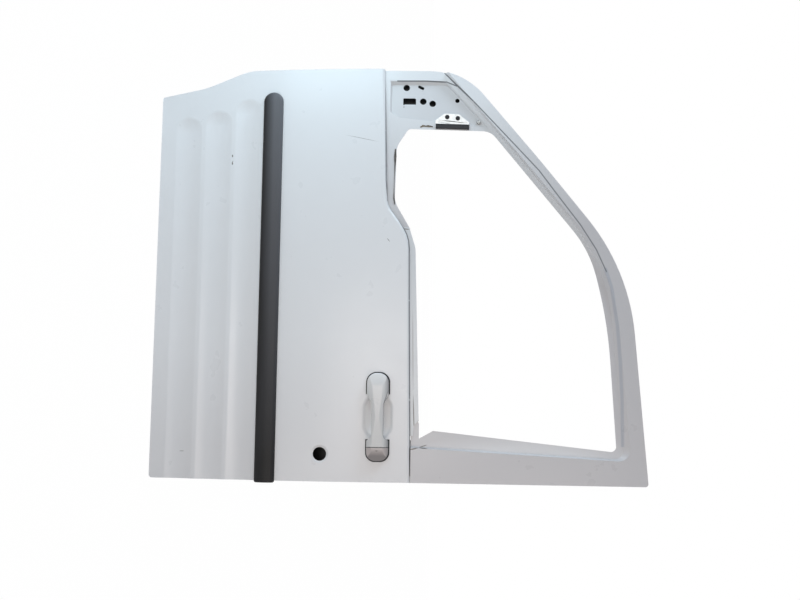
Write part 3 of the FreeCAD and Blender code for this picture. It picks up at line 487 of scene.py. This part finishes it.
# Painted shadow lines along the grooves and steps between the sheets
GROOVE_SHADOW = "74777B"
SOFT_GROOVE_SHADOW = "B2B5BC"
GROOVE_MM = 4.2
TOP_MM = 11.0
POCKET_MM = 4.5
BELT_MM = 3.2
GROOVE_LAP_MM = 1.5


def run_lines(run, width):
    """Even lines along a run of points, lapped a little so that the joints close."""
    lines = []
    for first, last in zip(run, run[1:]):
        lap = (Vector(last) - Vector(first)).normalized() * GROOVE_LAP_MM
        lines.append((tuple(Vector(first) - lap), tuple(Vector(last) + lap), width))
    return lines


BELT_GROOVE = [(run_lines(BELT_RUN, BELT_MM), GROOVE_SHADOW)]
FRAME_GROOVES = [
    (run_lines(TOP_RUN, TOP_MM), SOFT_GROOVE_SHADOW),
    (run_lines(GROOVE_RUN, GROOVE_MM) + run_lines(POCKET_RUN, POCKET_MM), GROOVE_SHADOW),
]
print("lines in the grooves:", sum(len(lines) for lines, tone in BELT_GROOVE + FRAME_GROOVES))

# %% Painted sheets
HOLLOW_SIDES = {
    "outer_skin": (0.0, 1.0, 0.0),
    "window_frame_outer": (0.0, 1.0, 0.0),
    "sail_panel": (0.0, 1.0, 0.0),
    "waist_rail_outer": (0.0, 1.0, 0.0),
    "waist_rail_inner": (0.0, -1.0, 0.0),
    "window_frame_inner": (0.0, -1.0, 0.0),
    "inner_panel": (0.0, -1.0, 0.0),
    "hinge_wall": (1.0, 0.0, 0.0),
    "latch_wall": (-1.0, 0.0, 0.0),
    "sill_wall": (0.0, 0.0, 1.0),
}
LINES = {
    "outer_skin": SKIN_LINES,
    "window_frame_outer": FRAME_LINES,
    "sail_panel": FRAME_LINES,
    "waist_rail_outer": WAIST_LINES,
}
GROOVES = {
    "outer_skin": BELT_GROOVE,
    "waist_rail_outer": BELT_GROOVE,
    "window_frame_outer": FRAME_GROOVES,
    "sail_panel": FRAME_GROOVES,
}
WHITES = {"sail_panel": "D3D4D6", "waist_rail_outer": "D4D7DA", "window_frame_inner": "F6F7F8"}
# Painted shade: these sheets turn to a darker tone from one x to another, in metres, towards the rear
REAR_SHADES = {"window_frame_outer": (0.06, 0.42, "C6C5C7"), "outer_skin": (0.72, 1.02, "DADBDD")}
HANDLE_H = 625.0
BOWL_AREA = [((800.0, 622.5), (1100.0, 622.5), 240.0)]
# Painted light: a lighter tone in the finger bowl, against the shade of its hollow
BOWL_LIGHT = "FAFAFA"
BAND_AREAS = [((20.0, 800.0), (600.0, 1265.0), 170.0), ((1075.0, 700.0), (1075.0, 1330.0), 200.0)]
# Painted light: a lighter tone in the sunk band of the window frame, against its shade
BAND_LIGHT = "D8D9DB"
# Each place painted lighter against its shade has its areas, the h of its sheet, the depths where it begins
# and is full, and its tone
SUNK_LIGHTS = {
    "outer_skin": (BOWL_AREA, HANDLE_H, 1.5, 5.0, BOWL_LIGHT),
    "window_frame_outer": (BAND_AREAS, FRAME_BASE_H, 0.4, 2.5, BAND_LIGHT),
}


def finish_node(node, material):
    """Give a CAD node its finish."""
    nodes[node].data.materials.clear()
    nodes[node].data.materials.append(material)


for node, side in HOLLOW_SIDES.items():
    paint = gloss_paint("white_enamel_" + node, LINES.get(node, ()), side, WHITES.get(node, PAINT_WHITE),
                        sunk_light=SUNK_LIGHTS.get(node), grooves=GROOVES.get(node, ()), rear_shade=REAR_SHADES.get(node))
    finish_node(node, paint)
print("painted sheets:", len(HOLLOW_SIDES))

# %% [markdown]
# ## Primed steel, zinc, rubber and moulded plastic
# The plates and the beam inside the door are only primed. The bracket is zinc plated, which has a soft
# cloudy brightness. The strip is moulded polypropylene with a fine grain, scuffed along its length, and the
# gaskets and the pad are matt rubber. Each could have nodes of its own, but they differ only in tone,
# gloss, grain size and direction, so one function mixes two tones by a noise of a given size.

# %% Grained finishes
# Painted sheen on the strip: palest at the front and along its upper part, with painted shade on its lower
# part
SHEEN_FRONT = 0.10
SHEEN_REAR = 1.05
SHEEN_LOW = -0.178
SHEEN_HIGH = -0.150
SHEEN_LEAST = 0.05
# Dark tone for streaks of dirt, and for the painted shadow along the bracket's bend
DIRT_AND_SHADE = "4A4A48"
CLOUD_TONES = (0.35, 0.68)
CLOUD_ROUGH = (0.3, 0.7)


def sheen_tone(tree, place, tone, pale):
    """Tone painted paler as a sheen, most at the front and along the upper part; the lower part stays dark
    as painted shade.
    """
    axes = add_node(tree, "ShaderNodeSeparateXYZ", {0: place})
    reach = add_node(tree, "ShaderNodeMapRange", {
        "Value": axes.outputs["X"], "From Min": SHEEN_REAR, "From Max": SHEEN_FRONT,
    })
    upper = add_node(tree, "ShaderNodeMapRange", {
        "Value": axes.outputs["Z"], "From Min": SHEEN_LOW, "From Max": SHEEN_HIGH, "To Min": SHEEN_LEAST,
    })
    share = add_node(tree, "ShaderNodeMath", {
        0: reach.outputs[0], 1: upper.outputs[0],
    }, operation="MULTIPLY")
    mixed = add_node(tree, "ShaderNodeMix", {
        0: share.outputs[0], 6: tone, 7: colour(pale),
    }, data_type="RGBA")
    return mixed.outputs[2]


def grained(name, tones, grain_mm, cloud_mm, rough, bump, metal=0.0, along=1.0, gloss=0.5, sheen=None,
            lines=()):
    """Two tones clouded at one size, with a fine grain in the bump; along draws the clouds out in x."""
    material, tree = new_material(name)
    place = add_node(tree, "ShaderNodeTexCoord").outputs["Object"]
    drawn = add_node(tree, "ShaderNodeMapping", {"Vector": place, "Scale": (1.0 / along, 1.0, 1.0)})
    cloud = add_node(tree, "ShaderNodeTexNoise", {
        "Vector": drawn.outputs[0], "Scale": 1.0 / (cloud_mm * MM), "Detail": 5.0,
    })
    share = add_node(tree, "ShaderNodeMapRange", {
        "Value": cloud.outputs[0], "From Min": CLOUD_TONES[0], "From Max": CLOUD_TONES[1],
    })
    tone = add_node(tree, "ShaderNodeMix", {
        0: share.outputs[0], 6: colour(tones[0]), 7: colour(tones[1]),
    }, data_type="RGBA").outputs[2]
    if sheen:
        tone = sheen_tone(tree, place, tone, sheen)
    if lines:
        dirt_and_shade_mask = worn_lines(tree, place, lines)
        tone = add_node(tree, "ShaderNodeMix", {
            0: dirt_and_shade_mask, 6: tone, 7: colour(DIRT_AND_SHADE),
        }, data_type="RGBA").outputs[2]
    dulled = add_node(tree, "ShaderNodeMapRange", {
        "Value": cloud.outputs[0], "From Min": CLOUD_ROUGH[0], "From Max": CLOUD_ROUGH[1],
        "To Min": rough[0], "To Max": rough[1],
    })
    grain = add_node(tree, "ShaderNodeTexNoise", {
        "Vector": place, "Scale": 1.0 / (grain_mm * MM), "Detail": 2.0,
    })
    relief = add_node(tree, "ShaderNodeBump", {
        "Height": grain.outputs[0], "Strength": bump, "Distance": BUMP_DEPTH,
    })
    shader = add_node(tree, "ShaderNodeBsdfPrincipled", {
        "Base Color": tone, "Roughness": dulled.outputs[0], "Normal": relief.outputs[0],
        "Metallic": metal, "Specular IOR Level": gloss,
    })
    add_node(tree, "ShaderNodeOutputMaterial", {"Surface": shader.outputs[0]})
    return material


# The strip's paler front and upper part is a painted sheen
print("the sun has faded the strip from x", SHEEN_REAR, "to", SHEEN_FRONT, "m")

# %% Rubber, plastic and metal
# A painted shadow line along the bracket's bend, and grey streaks of dirt beside it
BEND_SHADOW = ((140.0, 771.0), (150.2, 864.0), 2.2)
BEND_STREAKS = [((147.0, 775.0), (151.5, 815.0), 1.4), ((152.5, 820.0), (155.0, 855.0), 1.6)]
# Moulded polypropylene: dull black with a fine grain, and a painted sheen, palest at the front and upper
# part
STRIP_PLASTIC = grained("grained_polypropylene", ("161617", "212123"), 2.4, 26.0, (0.36, 0.52), 0.35,
                        along=7.0, gloss=0.2, sheen="646569")
# Cut sheet rubber: nearly black and matt, with hardly any reflection
SEAL_RUBBER = grained("matt_rubber", ("17181A", "26272A"), 1.2, 12.0, (0.6, 0.8), 0.2)
# Moulded nylon: black with a soft sheen
INNER_PLASTIC = grained("moulded_nylon", ("1C1D1F", "2A2B2D"), 1.5, 15.0, (0.5, 0.6), 0.1)
# Plated zinc: grey and bright, with small soft clouds
ZINC = grained("zinc_plated_steel", ("AEB1B0", "CFD1D0"), 1.0, 7.0, (0.28, 0.46), 0.08, metal=1.0)
# Plated zinc on a bent bracket: almost white, with a painted shadow line along its bend and grey streaks of
# dirt beside it
BRACKET_ZINC = grained("zinc_plated_bracket", ("DDE0E0", "EDEFEF"), 1.0, 7.0, (0.3, 0.42), 0.05, metal=1.0,
                       lines=[BEND_SHADOW] + BEND_STREAKS)
# Tarnished zinc: grey patches on what was bright
STUD_ZINC = grained("tarnished_zinc", ("6E7173", "C4C6C5"), 1.0, 5.0, (0.3, 0.5), 0.08, metal=1.0)
# Blackened steel: dark, with a dim metal glint
BLACK_STEEL = grained("blackened_steel", ("2A2B2D", "3B3C3E"), 0.8, 3.0, (0.35, 0.5), 0.05, metal=1.0)
# Dipped primer: black with broad clouds and a low sheen
PRIMER = grained("dipped_primer", (PRIMER_DARK, "2C2F32"), 2.0, 60.0, (0.42, 0.58), 0.05)
# Rubber that has aged in the open: brown grey, dry and without gloss
AGED_SEAL = grained("aged_rubber", ("3E3B39", "6A6561"), 1.2, 8.0, (0.7, 0.9), 0.3)
# Foam tape that has crumbled: brown, rough and patchy
FOAM_CRUMB = grained("aged_foam", ("4B4135", "8C7D68"), 1.2, 4.0, (0.85, 0.95), 0.8)
PLAIN_FINISHES = {
    "rub_strip": STRIP_PLASTIC,
    "handle_gasket_front": SEAL_RUBBER,
    "handle_gasket_rear": SEAL_RUBBER,
    "bracket_pad": SEAL_RUBBER,
    "handle_carrier_front": INNER_PLASTIC,
    "handle_carrier_rear": INNER_PLASTIC,
    "mirror_bracket": BRACKET_ZINC,
    "handle_pin": ZINC,
    "hinge_plate_upper": PRIMER,
    "hinge_plate_lower": PRIMER,
    "latch_plate": PRIMER,
    "side_beam": PRIMER,
    "beam_end_front": PRIMER,
    "beam_end_rear": PRIMER,
}
for node, material in PLAIN_FINISHES.items():
    finish_node(node, material)
print("plain finishes:", len(PLAIN_FINISHES))

# %% [markdown]
# ## Handle mouldings
# The pull handle and its fixed rear cap are injection mouldings, painted with the door. A moulding has no
# sharp edges, because plastic flows badly into them. The CAD solids have the right outline but crisp edges.
# A bevel could round them, but it can't be wider than the short edges that it meets. So each solid is
# copied, remeshed into even small cells and relaxed, which rounds every edge alike. The wall over the
# grip's lug slot is thinner than a cell and would open, so a small plug fills it from inside first. The
# front piece rides on the handle's own body and swings with it.

# %% Handle finish
CAP_MARK = ((1039.0, 622.0), (1039.0, 631.0), 2.8)
# Each layer of painted shade has the side it looks to, where it begins and is full, and its share
HANDLE_SHADE_SIDES = [((0.0, 0.0, 1.0), 0.55, 0.9, 0.8), ((1.0, 0.0, 0.0), 0.3, 0.6, 0.8)]
CAP_SHADE_SIDES = [((1.0, 0.0, 0.0), 0.02, 0.45, 0.62), ((0.0, 0.0, 1.0), 0.5, 0.9, 0.5)]
# Enamel on plastic: the door's white, with painted shade darker towards the rear and on faces that look up
# and back
GRIP_PAINT = gloss_paint("white_enamel_grip", white="E2E3E3", specks=0.0, side_shade=HANDLE_SHADE_SIDES,
                         rear_shade=(0.825, 0.9, "C9CACA"))
# Enamel painted a darker warm grey as shade, with painted shade on faces that look back and up, and one dark
# mark
CAP_PAINT = gloss_paint("shaded_enamel_cap", [CAP_MARK], white="B4ABA9", specks=0.0, side_shade=CAP_SHADE_SIDES)
finish_node("handle_grip", GRIP_PAINT)
finish_node("handle_cap", CAP_PAINT)
print("handle finishes:", GRIP_PAINT.name, CAP_PAINT.name)

# %% Softened copies
MERGE_GAP = 0.000002
MOULDING_CELL = 0.0010
RELAX = 0.5
GRIP_ROUNDS = 5
CAP_ROUNDS = 6
PLUG_SIZE = (5.0, 22.0, 2.2)
PLUG_PLACE = (844.2, 0.0, 14.5)


def merged_copy(node, name):
    """Copy of a CAD node with its loose triangles merged, selected and in edit mode."""
    bpy.ops.object.select_all(action="DESELECT")
    piece = bpy.data.objects.new(name, nodes[node].data.copy())
    bpy.context.scene.collection.objects.link(piece)
    bpy.context.view_layer.objects.active = piece
    piece.select_set(True)
    bpy.ops.object.mode_set(mode="EDIT")
    bpy.ops.mesh.select_all(action="SELECT")
    bpy.ops.mesh.remove_doubles(threshold=MERGE_GAP)
    return piece


def plug_slot(piece):
    """Join a small block to a piece, inside its wall over the lug slot."""
    bpy.ops.object.select_all(action="DESELECT")
    bpy.ops.mesh.primitive_cube_add(size=1.0)
    plug = bpy.context.object
    plug.scale = Vector(PLUG_SIZE) * MM
    bpy.ops.object.transform_apply(location=True, rotation=True, scale=True)
    plug.matrix_world = seat(*PLUG_PLACE, HANDLE_H)
    bpy.ops.object.transform_apply(location=True, rotation=True, scale=True)
    piece.select_set(True)
    bpy.context.view_layer.objects.active = piece
    bpy.ops.object.join()


def softened(node, name, rounds, material, plugged=False):
    """Copy of a CAD moulding with its edges rounded off."""
    piece = merged_copy(node, name)
    bpy.ops.object.mode_set(mode="OBJECT")
    if plugged:
        plug_slot(piece)
    cells = piece.modifiers.new("cells", "REMESH")
    cells.mode = "VOXEL"
    cells.voxel_size = MOULDING_CELL
    relax = piece.modifiers.new("relax", "SMOOTH")
    relax.factor = RELAX
    relax.iterations = rounds
    bpy.ops.object.modifier_apply(modifier="cells")
    bpy.ops.object.modifier_apply(modifier="relax")
    bpy.ops.object.shade_smooth()
    piece.data.materials.clear()
    piece.data.materials.append(material)
    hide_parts(node)
    print(name, "faces:", len(piece.data.polygons))
    return piece


grip = softened("handle_grip", "grip_moulding", GRIP_ROUNDS, GRIP_PAINT, plugged=True)
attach(grip, "handle")
cap = softened("handle_cap", "cap_moulding", CAP_ROUNDS, CAP_PAINT)
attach(cap, "door")

# %% [markdown]
# ## Gaskets under the handle
# Each end of the handle sits on a rubber gasket, whose dark edge shows all round. Its copy is made wider,
# so that its dark rubber also stands in for the shadow in the gap around the handle. A new outline could be
# drawn for it, but the CAD gasket already has the right one, so a copy is only made a little larger about
# its own middle.

# %% Spread gaskets
# Widened so that the dark rubber also stands in for the shadow in the gap around the handle
SPREAD = 1.045
SMOOTH_ANGLE = math.radians(35.0)


def spread(node, name):
    """Copy of a CAD gasket, made a little wider than it was cut, so its dark rubber also stands in for
    shadow.
    """
    piece = merged_copy(node, name)
    bpy.ops.transform.resize(value=(SPREAD, SPREAD, SPREAD))
    bpy.ops.mesh.normals_make_consistent(inside=False)
    bpy.ops.object.mode_set(mode="OBJECT")
    bpy.ops.object.shade_smooth_by_angle(angle=SMOOTH_ANGLE)
    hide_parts(node)
    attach(piece, "door")
    print(name, "faces:", len(piece.data.polygons))


spread("handle_gasket_front", "gasket_front_rubber")
spread("handle_gasket_rear", "gasket_rear_rubber")

# %% [markdown]
# ## Small pieces at the mirror seat
# A zinc bracket with a rubber pad is screwed to the seat, a plated stud stands beside it, and bits of old
# tape and seal are left along the window edge. Each starts from a primitive at its real size, is shaped in
# edit mode, and is then set on its seat. Two helpers do what every piece needs: one picks faces by a test,
# because nobody clicks in a script, and one sets a finished piece in place and lets it ride on the door.

# %% Edit helpers
SHEET_STEP = -12.0
UPWARD = 0.9


def pick(piece, test):
    """Select the faces of a piece that pass a test and stay in edit mode."""
    bpy.ops.object.mode_set(mode="EDIT")
    bpy.ops.mesh.select_mode(type="FACE")
    bpy.ops.mesh.select_all(action="DESELECT")
    bpy.ops.object.mode_set(mode="OBJECT")
    for face in piece.data.polygons:
        face.select = test(face)
    bpy.ops.object.mode_set(mode="EDIT")


def looks_out(face):
    """True for a face that looks out of the seat."""
    return face.normal.z > UPWARD


def settle(piece, name, place, material):
    """Set a finished piece on its seat, with its place in its mesh, and let it ride on the door."""
    bpy.ops.object.mode_set(mode="OBJECT")
    bpy.ops.object.transform_apply(location=True, rotation=True, scale=True)
    piece.matrix_world = place
    bpy.ops.object.transform_apply(location=True, rotation=True, scale=True)
    piece.name = name
    piece.data.materials.clear()
    piece.data.materials.append(material)
    bpy.ops.object.shade_smooth_by_angle(angle=SMOOTH_ANGLE)
    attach(piece, "door")
    bpy.ops.object.select_all(action="DESELECT")
    print(name, "faces:", len(piece.data.polygons))


print("mirror seat:", [round(v, 4) for v in seat(0.0, 0.0, SHEET_STEP, FRAME_BASE_H).translation])

# %% [markdown]
# ## Screws
# Two screws with flanged pan heads and a cross recess hold the bracket. They could be turned from a profile
# by a spin, but inset, extrude and bevel give the same head from a cylinder with fewer steps. Two thin
# blocks then cut the cross.

# %% Screws
FLANGE_R = 6.2 * MM
FLANGE_H = 0.9 * MM
HEAD_R = 4.3 * MM
HEAD_H = 2.4 * MM
HEAD_ROUND = 1.2 * MM
RECESS = (3.8 * MM, 0.9 * MM, 1.6 * MM)
BRACKET_TOP = -8.2
SCREWS = {"screw_low": (133.0, 95.0), "screw_high": (136.0, 124.0)}


def flanged_screw():
    """Pan head on a flange, with a cross recess, standing on z = 0."""
    bpy.ops.mesh.primitive_cylinder_add(vertices=32, radius=FLANGE_R, depth=FLANGE_H,
                                        location=(0, 0, FLANGE_H / 2))
    screw = bpy.context.object
    pick(screw, looks_out)
    bpy.ops.mesh.inset(thickness=FLANGE_R - HEAD_R)
    bpy.ops.mesh.extrude_region_move(TRANSFORM_OT_translate={"value": (0, 0, HEAD_H)})
    bpy.ops.mesh.bevel(offset=HEAD_ROUND, segments=4, affect="EDGES")
    bpy.ops.object.mode_set(mode="OBJECT")
    bpy.ops.object.transform_apply(location=True, rotation=True, scale=True)
    top = FLANGE_H + HEAD_H
    for turn_by in (0.0, math.pi / 2):
        bpy.ops.object.select_all(action="DESELECT")
        bpy.ops.mesh.primitive_cube_add(size=1.0, location=(0, 0, top), rotation=(0, 0, turn_by))
        cutter = bpy.context.object
        cutter.scale = (RECESS[0], RECESS[1], 2 * RECESS[2])
        screw.select_set(True)
        bpy.context.view_layer.objects.active = screw
        slit = screw.modifiers.new("slit", "BOOLEAN")
        slit.operation = "DIFFERENCE"
        slit.object = cutter
        bpy.ops.object.modifier_apply(modifier="slit")
        bpy.data.objects.remove(cutter)
    return screw


for name, (x, up) in SCREWS.items():
    settle(flanged_screw(), name, seat(x, up, BRACKET_TOP, FRAME_BASE_H), BLACK_STEEL)

# %% [markdown]
# ## Stud
# A plated stud with a rounded head stands beside the bracket. A squashed ball could stand for it, but a
# real stud has a thin collar, so it is a flat cylinder whose middle is drawn out and rounded.

# %% Stud
STUD_R = 6.0 * MM
STUD_H = 5.0 * MM
STUD_COLLAR_H = 0.8 * MM
STUD_COLLAR_W = 0.9 * MM
STUD_ROUND = 1.6 * MM
STUD_PLACE = (146.0, 181.0, -14.2)
bpy.ops.mesh.primitive_cylinder_add(vertices=28, radius=STUD_R, depth=STUD_COLLAR_H,
                                    location=(0, 0, STUD_COLLAR_H / 2))
stud = bpy.context.object
pick(stud, looks_out)
bpy.ops.mesh.inset(thickness=STUD_COLLAR_W)
bpy.ops.mesh.extrude_region_move(TRANSFORM_OT_translate={"value": (0, 0, STUD_H)})
bpy.ops.mesh.bevel(offset=STUD_ROUND, segments=5, affect="EDGES")
settle(stud, "plated_stud", seat(*STUD_PLACE, FRAME_BASE_H), STUD_ZINC)

# %% [markdown]
# ## Rubber pad
# The pad is moulded rubber with rounded upper edges and a shallow dish. The CAD pad is a plain block of the
# same size. Its copy could be bevelled, but the pad is simple enough to make again from a cube, which keeps
# its faces even.

# %% Rubber pad
PAD_SIZE = (13.5 * MM, 91.0 * MM, 6.0 * MM)
PAD_ROUND = 2.2 * MM
PAD_LIP = 1.5 * MM
PAD_DISH = 0.5 * MM
PAD_TURN = math.radians(-1.25)
PAD_PLACE = (159.2, 109.5, -11.7)
bpy.ops.mesh.primitive_cube_add(size=1.0, location=(0, 0, PAD_SIZE[2] / 2))
pad = bpy.context.object
pad.scale = PAD_SIZE
bpy.ops.object.transform_apply(location=True, rotation=True, scale=True)
pick(pad, looks_out)
bpy.ops.mesh.bevel(offset=PAD_ROUND, segments=4, affect="EDGES")
pick(pad, looks_out)
bpy.ops.mesh.inset(thickness=PAD_LIP)
bpy.ops.transform.translate(value=(0, 0, -PAD_DISH))
pad_turn = Matrix.Rotation(PAD_TURN, 4, "Z")
settle(pad, "pad_rubber", seat(*PAD_PLACE, FRAME_BASE_H) @ pad_turn, SEAL_RUBBER)
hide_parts("bracket_pad")

# %% [markdown]
# ## Foam crumbs and a torn seal
# Where tape and seal were pulled off, ragged strips stay stuck to the sheet. A curve with a bevel would be
# too even, so a short edge is extruded from point to point with a changing width, made solid, and each of
# its points is then moved a little at random, with a fixed seed so that every run gives the same strip.

# %% Ragged strips
CRUMB_RUN = [(160.6, 22.0), (157.0, 29.0), (158.4, 37.0), (157.8, 44.0), (159.8, 56.0)]
CRUMB_WIDTHS = (2.0, 5.0, 3.0, 5.5, 2.4)
CRUMB_LEVEL = SHEET_STEP + 0.6
CRUMB_RAGGED = 0.5
CRUMB_SEED = 5
SEAL_RUN = [(222.9, -45.7), (244.0, -46.2), (262.0, -46.3), (288.0, -47.2), (312.1, -47.9), (336.0, -48.3),
            (359.3, -48.4), (375.8, -46.3)]
SEAL_WIDTHS = (3.0, 7.0, 4.0, 1.4, 0.9, 1.2, 3.6, 2.2)
SEAL_LEVEL = SHEET_STEP + 0.9
SEAL_RAGGED = 0.4
SEAL_SEED = 9
STRIP_THICK = 1.2
LEAD_MM = 0.8


def ragged_strip(name, run, level, widths, ragged, seed, material):
    """Strip pulled along a run of points on the frame, then roughened like something torn."""
    points = [Vector((*point, 0.0)) * MM for point in run]
    along = (points[1] - points[0]).normalized()
    bpy.ops.mesh.primitive_plane_add(size=1.0, location=points[0],
                                     rotation=(0, 0, math.atan2(along.y, along.x)))
    strip = bpy.context.object
    strip.scale = (LEAD_MM * MM, widths[0] * MM, 1.0)
    bpy.ops.object.transform_apply(location=True, rotation=True, scale=True)
    bpy.ops.object.mode_set(mode="EDIT")
    bpy.ops.mesh.select_mode(type="VERT")
    bpy.ops.mesh.select_all(action="DESELECT")
    bpy.ops.object.mode_set(mode="OBJECT")
    for vertex in strip.data.vertices:
        vertex.select = (vertex.co - points[0]).dot(along) > 0
    bpy.ops.object.mode_set(mode="EDIT")
    for k in range(1, len(run)):
        bpy.ops.mesh.extrude_region_move(TRANSFORM_OT_translate={"value": points[k] - points[k - 1]})
        grow = widths[k] / widths[k - 1]
        bpy.ops.transform.resize(value=(grow, grow, 1.0))
    bpy.ops.mesh.select_all(action="SELECT")
    bpy.ops.mesh.subdivide(number_cuts=3)
    bpy.ops.mesh.normals_make_consistent(inside=False)
    bpy.ops.object.mode_set(mode="OBJECT")
    body = strip.modifiers.new("body", "SOLIDIFY")
    body.thickness = STRIP_THICK * MM
    body.offset = 0.0
    bpy.ops.object.modifier_apply(modifier="body")
    bpy.ops.object.mode_set(mode="EDIT")
    bpy.ops.mesh.select_all(action="SELECT")
    bpy.ops.transform.vertex_random(offset=ragged * MM, seed=seed)
    settle(strip, name, seat(0.0, 0.0, level, FRAME_BASE_H), material)


ragged_strip("foam_crumbs", CRUMB_RUN, CRUMB_LEVEL, CRUMB_WIDTHS, CRUMB_RAGGED, CRUMB_SEED, FOAM_CRUMB)
ragged_strip("torn_seal", SEAL_RUN, SEAL_LEVEL, SEAL_WIDTHS, SEAL_RAGGED, SEAL_SEED, AGED_SEAL)

# %% [markdown]
# ## Bent flap in the square hole
# A tongue of the sheet is bent into the square hole, so a white flap shows in its dark. It could be cut
# from the sheet itself, but a CAD node stays as it is. The flap is a plane with one edge drawn down, given
# the thickness of sheet and a small bevel.

# %% Bent flap
FLAP_SIZE = (7.0 * MM, 33.0 * MM)
FLAP_FOLD = (-1.5 * MM, 0, -3.0 * MM)
FLAP_THICK = 0.8 * MM
FLAP_ROUND = 0.3 * MM
FLAP_PLACE = (99.5, -6.5, -18.2)
# Sprayed enamel, as on the sheet around it
FLAP_PAINT = gloss_paint("white_enamel_flap")
bpy.ops.mesh.primitive_plane_add(size=1.0)
flap = bpy.context.object
flap.scale = (FLAP_SIZE[0], FLAP_SIZE[1], 1.0)
bpy.ops.object.transform_apply(location=True, rotation=True, scale=True)
bpy.ops.object.mode_set(mode="EDIT")
bpy.ops.mesh.select_mode(type="EDGE")
bpy.ops.mesh.select_all(action="DESELECT")
bpy.ops.object.mode_set(mode="OBJECT")
for edge in flap.data.edges:
    edge.select = all(flap.data.vertices[k].co.x < 0 for k in edge.vertices)
bpy.ops.object.mode_set(mode="EDIT")
bpy.ops.mesh.extrude_region_move(TRANSFORM_OT_translate={"value": FLAP_FOLD})
bpy.ops.object.mode_set(mode="OBJECT")
thick = flap.modifiers.new("thick", "SOLIDIFY")
thick.thickness = FLAP_THICK
thick.offset = -1.0
soft = flap.modifiers.new("soft", "BEVEL")
soft.width = FLAP_ROUND
soft.segments = 2
bpy.ops.object.modifier_apply(modifier="thick")
bpy.ops.object.modifier_apply(modifier="soft")
settle(flap, "hole_flap", seat(*FLAP_PLACE, FRAME_BASE_H), FLAP_PAINT)
